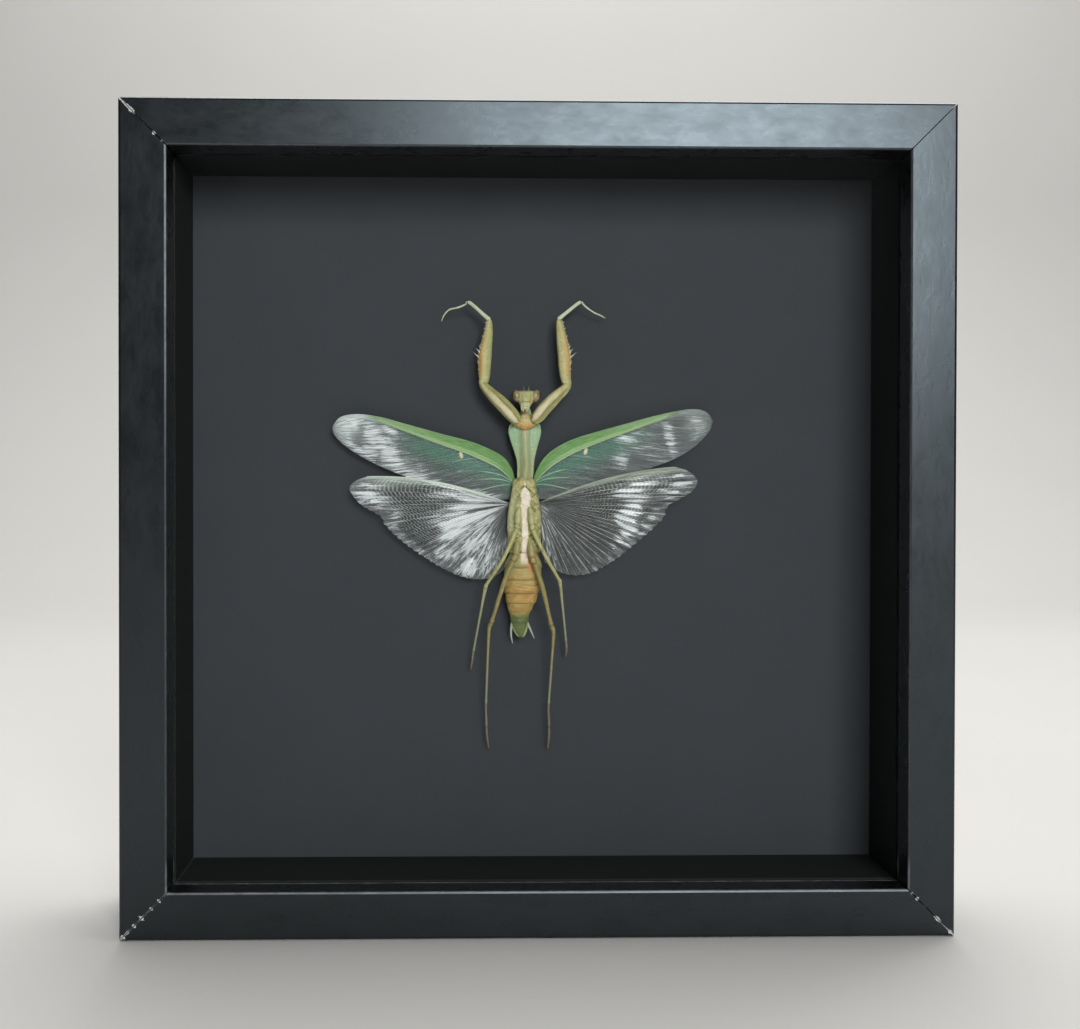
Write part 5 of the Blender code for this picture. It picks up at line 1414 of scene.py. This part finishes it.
def shield_skin(settings):
    """Mint-green leaf sides, a tan rib down the middle and olive towards the rear"""
    skin, spot, pits, waves = pored_skin("neck skin", 0.38)
    _, _, z = skin.parts(spot)
    rib, seam = skin.values("rib", "seam")
    grain = skin.noise(skin.stretched(spot, (1.0, 1.0, 0.12)), 1500.0, 4.0, 0.6)
    tail = (z - MIDDLE_Z).rise(0.026, 0.015)
    ribbed = skin.mix(grain.rise(0.3, 0.7), (0.36, 0.34, 0.17), (0.54, 0.50, 0.29))
    tone = skin.layers(
        skin.mix(grain.rise(0.35, 0.7), settings.mint, (0.36, 0.47, 0.30)),
        (tail * 0.8, (0.40, 0.41, 0.20)),
        ((rib + (waves - 0.5) * 0.5).rise(0.15, 0.85) * 0.80, ribbed),
        (waves.rise(0.56, 0.66) * 0.30, (0.22, 0.30, 0.13)),
        ((seam * 0.16 + (grain.rise(0.62, 0.75) * rib * 0.35)).least(1.0), (0.22, 0.18, 0.08)))
    tone = skin.shade(tone, 0.84 + pits * 0.16 + waves * 0.10)
    return skin.complete(tone, 0.32 + waves * 0.2, grain * 0.8 + pits * 0.3 + waves * 0.5, 0.00010)


def plate_skin(settings):
    """The orange-tan breast plate, paler along its middle"""
    skin, spot, pits, waves = pored_skin("breast skin", 0.4)
    x, _, z = skin.parts(spot)
    middle = (x + BODY_LEFT).size().rise(0.0012, 0.0002)
    patch = skin.noise(spot, 520.0, 4.0, 0.7)
    low = (z - MIDDLE_Z + (patch - 0.5) * 0.004).rise(0.0312, 0.0292)
    tone = skin.layers(
        skin.mix(waves.rise(0.35, 0.65), (0.40, 0.32, 0.12), (0.56, 0.45, 0.20)),
        (middle * 0.4, (0.66, 0.54, 0.30)),
        (low * 0.8, skin.mix(waves, settings.ochre, (0.66, 0.34, 0.10))),
        (patch.rise(0.56, 0.68) * 0.5, (0.26, 0.15, 0.05)))
    tone = skin.shade(tone, 0.80 + pits * 0.2 + waves * 0.1)
    return skin.complete(tone, 0.34 + waves * 0.2, pits * 0.4 + waves, 0.00012)


def thorax_skin(settings):
    """Olive-yellow plates blotched with brown at the seams, and a pinkish-cream soft strip"""
    skin, spot, pits, waves = pored_skin("thorax skin", 0.46)
    strip, seam = skin.values("strip", "seam")
    patch = skin.noise(spot, 420.0, 4.0, 0.65)
    marks = skin.noise(spot, 760.0, 5.0, 0.72, 1.0)
    x, _, z = skin.parts(spot)
    up = (z - MIDDLE_Z) * 1000.0
    flank = (x + BODY_LEFT).rise(-0.0022, -0.0042) * (up - 2.0).size().rise(9.5, 5.0)
    stained = (x + BODY_LEFT).rise(0.0004, 0.0012) * (up + 1.0).rise(-1.0, -6.0)
    soft = skin.layers(
        skin.mix(patch.rise(0.38, 0.62), settings.cream, (0.95, 0.88, 0.75)),
        (marks.rise(0.52, 0.64) * 0.5, (0.60, 0.46, 0.26)),
        (stained * 0.7, (0.66, 0.40, 0.18)))
    tone = skin.layers(
        skin.mix(patch.rise(0.40, 0.60), settings.olive, (0.66, 0.61, 0.30)),
        (patch.rise(0.55, 0.66) * 0.8, (0.36, 0.43, 0.15)),
        (marks.rise(0.48, 0.38) * 0.70, (0.66, 0.61, 0.36)),
        (marks.rise(0.54, 0.62) * 0.60, (0.24, 0.17, 0.05)),
        ((seam * 0.9 + marks * 1.6 - 0.80).rise(0.20, 0.62) * 0.85, (0.12, 0.065, 0.025)),
        (flank * (0.30 + marks * 0.8), (0.80, 0.80, 0.46)),
        ((strip + (marks - 0.5) * 0.9).rise(0.36, 0.70), soft))
    tone = skin.shade(tone, 0.80 + pits * 0.18 + waves * 0.12)
    return skin.complete(tone, 0.40 + waves * 0.2, pits * 0.3 + waves + marks * 1.2, 0.00022)


def abdomen_skin(settings):
    """Orange-ochre plates: green bands at their seams, green tip, pale sides, a brown line at each edge"""
    skin, spot, pits, waves = pored_skin("abdomen skin", 0.40)
    x, _, z = skin.parts(spot)
    up = (z - MIDDLE_Z) * 1000.0
    rear, side, feeler, tip = skin.values("rear", "side", "feeler", "tip")
    cross = skin.noise(skin.stretched(spot, (0.25, 1.0, 1.0)), 900.0, 4.0, 0.65, 0.6)
    patch = skin.noise(spot, 260.0, 3.0, 0.6)
    greens = (up + 13.4 + patch * 3.0).size().rise(4.6, 2.0) * 0.80
    greens = greens.most((up + 19.6 + patch).size().rise(1.3, 0.4) * 0.45)
    tail = (up + 30.2 + patch * 2.0).rise(1.2, -1.2)
    centre = (x + 0.0035 + (cross - 0.5) * 0.0008).size().rise(0.0015, 0.0008) * (up + 13.2).rise(-2.4, 0.6)
    orange = (x + 0.0010).size().rise(0.0026, 0.0010) * (up + 14.2).size().rise(4.2, 2.0)
    tail_tone = skin.mix(tip, skin.mix(cross, (0.05, 0.09, 0.028), (0.15, 0.21, 0.075)), (0.52, 0.57, 0.33))
    tone = skin.layers(
        skin.mix(cross.rise(0.36, 0.64), (0.42, 0.24, 0.065), (0.58, 0.40, 0.14)),
        (greens, (0.36, 0.40, 0.17)),
        ((patch - cross * 0.3).rise(0.34, 0.5) * 0.45, (0.56, 0.25, 0.06)),
        (waves.rise(0.54, 0.68) * 0.40, (0.32, 0.33, 0.12)),
        ((rear * (0.3 + cross)).least(1.0) * 0.85, (0.20, 0.11, 0.03)),
        ((up + 26.0).rise(0.0, -5.0) * 0.45, (0.30, 0.28, 0.09)),
        (side * 0.55, (0.52, 0.55, 0.34)),
        (orange * 0.8, (0.60, 0.27, 0.085)),
        (centre * 0.95, settings.cream),
        (tail * 0.92, tail_tone),
        (feeler, skin.mix(cross, (0.38, 0.40, 0.30), (0.62, 0.62, 0.50))))
    tone = skin.shade(tone, 0.80 + pits * 0.18 + waves * 0.12)
    return skin.complete(tone, 0.34 + waves * 0.2, pits * 0.3 + waves * 0.9 + cross * 1.2, 0.00020)


def arm_skin(settings):
    """Tan arms with a cream stripe on the coxae painted as a highlight, ochre lower outer sides, pale shins
    and white thread-like feet
    """
    skin, spot, pits, waves = pored_skin("arm skin", 0.38)
    around, share = skin.pattern()
    seam, ochre, pale, part = skin.values("seam", "ochre", "pale", "part")
    grain = skin.noise(skin.vector(around * 9.0, share * 5.0), 1.0, 4.0, 0.6, 0.5)
    coxa = (part - 0.2).rise(0.05, -0.05)
    # A painted highlight: a cream stripe along the body end of each coxa
    painted_coxa_highlight = (around - 0.30 + (grain - 0.5) * 0.22).size().rise(0.11, 0.02) * coxa * share.rise(0.85, 0.35)
    groove = (around - 0.18 + (grain - 0.5) * 0.06).size().rise(0.040, 0.012) * coxa * share.rise(0.90, 0.60)
    green = (around - 0.13).size().rise(0.14, 0.03).most((around - 0.47).size().rise(0.10, 0.02))
    stain = skin.noise(spot, 620.0, 5.0, 0.72, 0.8)
    strands = skin.noise(skin.vector(around * 26.0, share * 4.0), 1.0, 4.0, 0.65, 0.4)
    tone = skin.layers(
        skin.mix(grain.rise(0.3, 0.7), settings.tan, (0.58, 0.52, 0.26)),
        (green * 0.6, (0.30, 0.34, 0.12)),
        (stain.rise(0.50, 0.64) * 0.55, (0.34, 0.29, 0.10)),
        (stain.rise(0.46, 0.36) * 0.45, (0.66, 0.62, 0.40)),
        (painted_coxa_highlight * 0.70, (0.76, 0.66, 0.48)),
        (groove * 0.60, (0.20, 0.15, 0.045)),
        ((ochre * (0.5 + strands * 0.9)).least(1.0), skin.mix(grain, settings.ochre, (0.62, 0.42, 0.17))),
        (ochre.rise(0.35, 0.8) * strands.rise(0.52, 0.64) * 0.6, (0.48, 0.20, 0.05)),
        (pale * 0.85, skin.mix(pale.rise(0.85, 0.97), (0.78, 0.84, 0.64), (0.80, 0.79, 0.66))),
        ((seam * 0.9).least(1.0), settings.brown))
    tone = skin.shade(tone, 0.82 + pits * 0.16 + waves * 0.12)
    height = pits * 0.3 + waves * 0.7 + grain * 0.5 + strands * 0.5 + stain * 0.8
    return skin.complete(tone, 0.32 + waves * 0.2, height, 0.00016)


def leg_skin(settings, name, thigh, lit):
    """Olive-yellow legs, greyer down the shins, with brown joints and tips"""
    skin, spot, pits, waves = pored_skin(name)
    seam, pale, reach = skin.values("seam", "pale", "reach")
    grain = skin.noise(skin.stretched(spot, (1.0, 1.0, 0.2)), 1300.0, 4.0, 0.6, 0.4)
    stain = skin.noise(spot, 700.0, 4.0, 0.7, 0.5)
    tone = skin.layers(
        skin.mix(grain.rise(0.3, 0.7), thigh, lit),
        (stain.rise(0.52, 0.64) * 0.55, (0.26, 0.19, 0.06)),
        (stain.rise(0.44, 0.34) * 0.45, (0.52, 0.52, 0.27)),
        (reach.rise(0.50, 0.72) * 0.85, skin.mix(grain, (0.26, 0.28, 0.17), (0.34, 0.35, 0.24))),
        ((reach + grain * 0.1).rise(0.93, 1.02) * 0.8, (0.20, 0.14, 0.10)),
        (pale, (0.50, 0.48, 0.26)),
        ((seam * 0.75).least(1.0), settings.brown))
    tone = skin.shade(tone, 0.82 + pits * 0.16 + waves * 0.12)
    return skin.complete(tone, 0.36 + waves * 0.2, pits * 0.3 + waves * 0.6 + grain * 0.5, 0.00010)


class SPECIMEN_OT_rails(bpy.types.Operator):
    """Gives the four rails their black foil with pale edges, partly wear and partly painted highlight, and
    chipped mitres
    """
    bl_idname = "specimen.rails"
    bl_label = "Dress the rails"

    def execute(self, context):
        dress(foil_finish(context.scene.specimen_frame), *(f"rail_{side}" for side in SIDES))
        return {"FINISHED"}


class SPECIMEN_OT_pane(bpy.types.Operator):
    """Gives the pane its clear glass"""
    bl_idname = "specimen.pane"
    bl_label = "Dress the glass"

    def execute(self, context):
        dress(glass_finish(), "glass_pane")
        return {"FINISHED"}


class SPECIMEN_OT_papers(bpy.types.Operator):
    """Gives the liner and the card their papers"""
    bl_idname = "specimen.papers"
    bl_label = "Dress the liner and card"

    def execute(self, context):
        settings = context.scene.specimen_frame
        liner = paper_finish("black liner paper", settings.liner, 0.35, 0.75, 0.8)
        dress(liner, *(f"liner_{side}" for side in SIDES))
        dress(paper_finish("blue-grey card", settings.card, 0.16), "backing_card")
        return {"FINISHED"}


class SPECIMEN_OT_back(bpy.types.Operator):
    """Gives the back, its spring points and the hanging plate their finishes"""
    bl_idname = "specimen.back"
    bl_label = "Dress the back"

    def execute(self, context):
        settings = context.scene.specimen_frame
        dress(board_finish(settings), "back_panel")
        points = [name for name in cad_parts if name.startswith("spring_point_")]
        dress(zinc_finish(settings), "hanging_plate", *points)
        dress(glue_finish(), "glue_dab")
        return {"FINISHED"}


class SPECIMEN_OT_forewings(bpy.types.Operator):
    """Models the two front wings"""
    bl_idname = "specimen.forewings"
    bl_label = "Model the forewings"

    def execute(self, context):
        settings = context.scene.specimen_wings
        finish = forewing_finish(settings)
        for name in FOREWINGS:
            make_forewing(name, settings, finish)
        return {"FINISHED"}


class SPECIMEN_OT_hindwings(bpy.types.Operator):
    """Models the two fan-like rear wings"""
    bl_idname = "specimen.hindwings"
    bl_label = "Model the hindwings"

    def execute(self, context):
        settings = context.scene.specimen_wings
        finish = hindwing_finish(settings)
        for name in HINDWINGS:
            make_hindwing(name, settings, finish)
        return {"FINISHED"}


class SPECIMEN_OT_head(bpy.types.Operator):
    """Models the head with its eyes, mouthparts and feeler stubs"""
    bl_idname = "specimen.head"
    bl_label = "Model the head"

    def execute(self, context):
        settings = context.scene.specimen_skin
        make_head(head_skin(settings), eye_skin())
        return {"FINISHED"}


class SPECIMEN_OT_body(bpy.types.Operator):
    """Models the neck shield, breast plate, thorax and abdomen"""
    bl_idname = "specimen.body"
    bl_label = "Model the body"

    def execute(self, context):
        settings = context.scene.specimen_skin
        make_shield(shield_skin(settings))
        make_breastplate(plate_skin(settings))
        make_thorax(thorax_skin(settings))
        make_abdomen(abdomen_skin(settings))
        return {"FINISHED"}


class SPECIMEN_OT_arms(bpy.types.Operator):
    """Models the two grasping arms"""
    bl_idname = "specimen.arms"
    bl_label = "Model the arms"

    def execute(self, context):
        finish = arm_skin(context.scene.specimen_skin)
        for name, side in (("foreleg_left", -1), ("foreleg_right", 1)):
            make_foreleg(name, side, finish)
        return {"FINISHED"}


class SPECIMEN_OT_legs(bpy.types.Operator):
    """Models the four walking legs"""
    bl_idname = "specimen.legs"
    bl_label = "Model the walking legs"

    def execute(self, context):
        settings = context.scene.specimen_skin
        for word, legs, thigh, lit, foot in (("middle", MIDLEGS, (0.43, 0.43, 0.18), (0.52, 0.51, 0.24), 9),
                                             ("hind", HINDLEGS, (0.29, 0.25, 0.10), (0.36, 0.30, 0.12), 10)):
            finish = leg_skin(settings, f"{word} leg skin", thigh, lit)
            for name, stations in legs.items():
                make_walking_leg(name, stations, finish, knee=7, foot=foot)
        return {"FINISHED"}


class SPECIMEN_OT_stage(bpy.types.Operator):
    """Sets the pale floor, the soft lights and the camera"""
    bl_idname = "specimen.stage"
    bl_label = "Set the stage"

    def execute(self, context):
        make_floor(context.scene.specimen_stage)
        make_lights(context.scene.specimen_stage)
        make_camera()
        return {"FINISHED"}


def make_floor(settings):
    """A floor that curves up into a backdrop: straight, a quarter circle, straight, carried sideways"""
    reach, wall, radius, width = 4.0, 1.6, 0.6, 3.0
    bend = np.radians(np.linspace(0, 90, 25))
    y = np.r_[-reach, wall - radius + radius * np.sin(bend), wall]
    z = np.r_[0.0, radius * (1 - np.cos(bend)), 2.6]
    points = np.stack([np.stack([np.full(len(y), x), y, z - 0.0001], -1) for x in (-width, width)], 1)
    faces = [(2 * i, 2 * i + 1, 2 * i + 3, 2 * i + 2) for i in range(len(y) - 1)]
    mesh = bpy.data.meshes.new("floor")
    mesh.from_pydata(points.reshape(-1, 3), [], faces)
    mesh.shade_smooth()
    plain = Finish("pale floor", Roughness=0.8, Specular_IOR_Level=0.2)
    soft = plain.noise(plain.place(), 6.0, 2.0)
    plain.feed("Base Color", plain.shade(settings.floor, 0.98 + soft * 0.04))
    mesh.materials.append(plain.material)
    floor = bpy.data.objects.new("floor", mesh)
    bpy.context.scene.collection.objects.link(floor)


def add_light(name, place_at, size, power, colour):
    """A rectangle of soft light that faces the middle of the card"""
    lamp = bpy.data.lights.new(name, "AREA")
    lamp.shape = "RECTANGLE"
    lamp.size, lamp.size_y = size
    lamp.energy = power
    lamp.color = colour
    thing = bpy.data.objects.new(name, lamp)
    bpy.context.scene.collection.objects.link(thing)
    thing.location = place_at
    facing = (Vector((0.0, 0.0, MIDDLE_Z)) - thing.location).normalized()
    thing.rotation_euler = facing.to_track_quat("-Z", "Y").to_euler()


def make_lights(settings):
    """A window in front and above, a weaker light overhead and behind, and a faint even air"""
    distance, side, rise = 2.0, 0.20, 0.31
    add_light("window", (distance * side, FRONT - distance, MIDDLE_Z + distance * rise), (0.84, 0.80),
              settings.key_power, (1.0, 1.0, 1.0))
    add_light("overhead", (0.2, 0.5, 2.0), (1.6, 1.6), settings.key_power * 1.8, (1.0, 0.99, 0.97))
    world = bpy.data.worlds.new("even light")
    world.use_nodes = True
    air = world.node_tree.nodes["Background"]
    air.inputs["Color"].default_value = (0.93, 0.96, 1.0, 1.0)
    air.inputs["Strength"].default_value = settings.air
    bpy.context.scene.world = world
    bpy.context.scene.view_settings.view_transform = "Standard"


def make_camera():
    """The view that the frame's corners were fitted to; a camera looks down its own -Z"""
    lens = bpy.data.cameras.new("camera")
    lens.sensor_width = SENSOR
    lens.lens = FOCAL_PIXELS / PICTURE_WIDTH * SENSOR
    lens.shift_x = -MIDDLE_SHIFT[0] / PICTURE_WIDTH
    lens.shift_y = MIDDLE_SHIFT[1] / PICTURE_WIDTH
    lens.clip_start = 0.01
    camera = bpy.data.objects.new("camera", lens)
    bpy.context.scene.collection.objects.link(camera)
    turn = Euler([math.radians(angle) for angle in CAMERA_TURN], "XYZ").to_matrix().transposed()
    upright = Matrix.Rotation(math.radians(90), 3, "X")
    camera.matrix_world = Matrix.Translation(CAMERA_PLACE) @ (turn @ upright).to_4x4()
    bpy.context.scene.camera = camera


OPERATORS = (
    SPECIMEN_OT_rails, SPECIMEN_OT_pane, SPECIMEN_OT_papers, SPECIMEN_OT_back, SPECIMEN_OT_forewings,
    SPECIMEN_OT_hindwings, SPECIMEN_OT_head, SPECIMEN_OT_body, SPECIMEN_OT_arms, SPECIMEN_OT_legs,
    SPECIMEN_OT_stage,
)
GROUPS = {
    "specimen_frame": FrameSettings, "specimen_skin": SpecimenSettings, "specimen_wings": WingSettings,
    "specimen_stage": StageSettings,
}


class SPECIMEN_PT_panel(bpy.types.Panel):
    """Lists the specimen's pieces and their settings"""
    bl_label = "Framed specimen"
    bl_idname = "SPECIMEN_PT_panel"
    bl_space_type = "VIEW_3D"
    bl_region_type = "UI"
    bl_category = "Specimen"

    def draw(self, context):
        for operator in OPERATORS:
            self.layout.operator(operator.bl_idname)
        for word, group in GROUPS.items():
            box = self.layout.box()
            for setting in group.__annotations__:
                box.prop(getattr(context.scene, word), setting)


def register():
    for kind in (*GROUPS.values(), *OPERATORS, SPECIMEN_PT_panel):
        bpy.utils.register_class(kind)
    for word, group in GROUPS.items():
        setattr(bpy.types.Scene, word, PointerProperty(type=group))


def unregister():
    for word in GROUPS:
        delattr(bpy.types.Scene, word)
    for kind in reversed((*GROUPS.values(), *OPERATORS, SPECIMEN_PT_panel)):
        bpy.utils.unregister_class(kind)


def main():
    register()
    for operator in OPERATORS:
        group, name = operator.bl_idname.split(".")
        getattr(getattr(bpy.ops, group), name)()


if __name__ == "__main__":
    main()
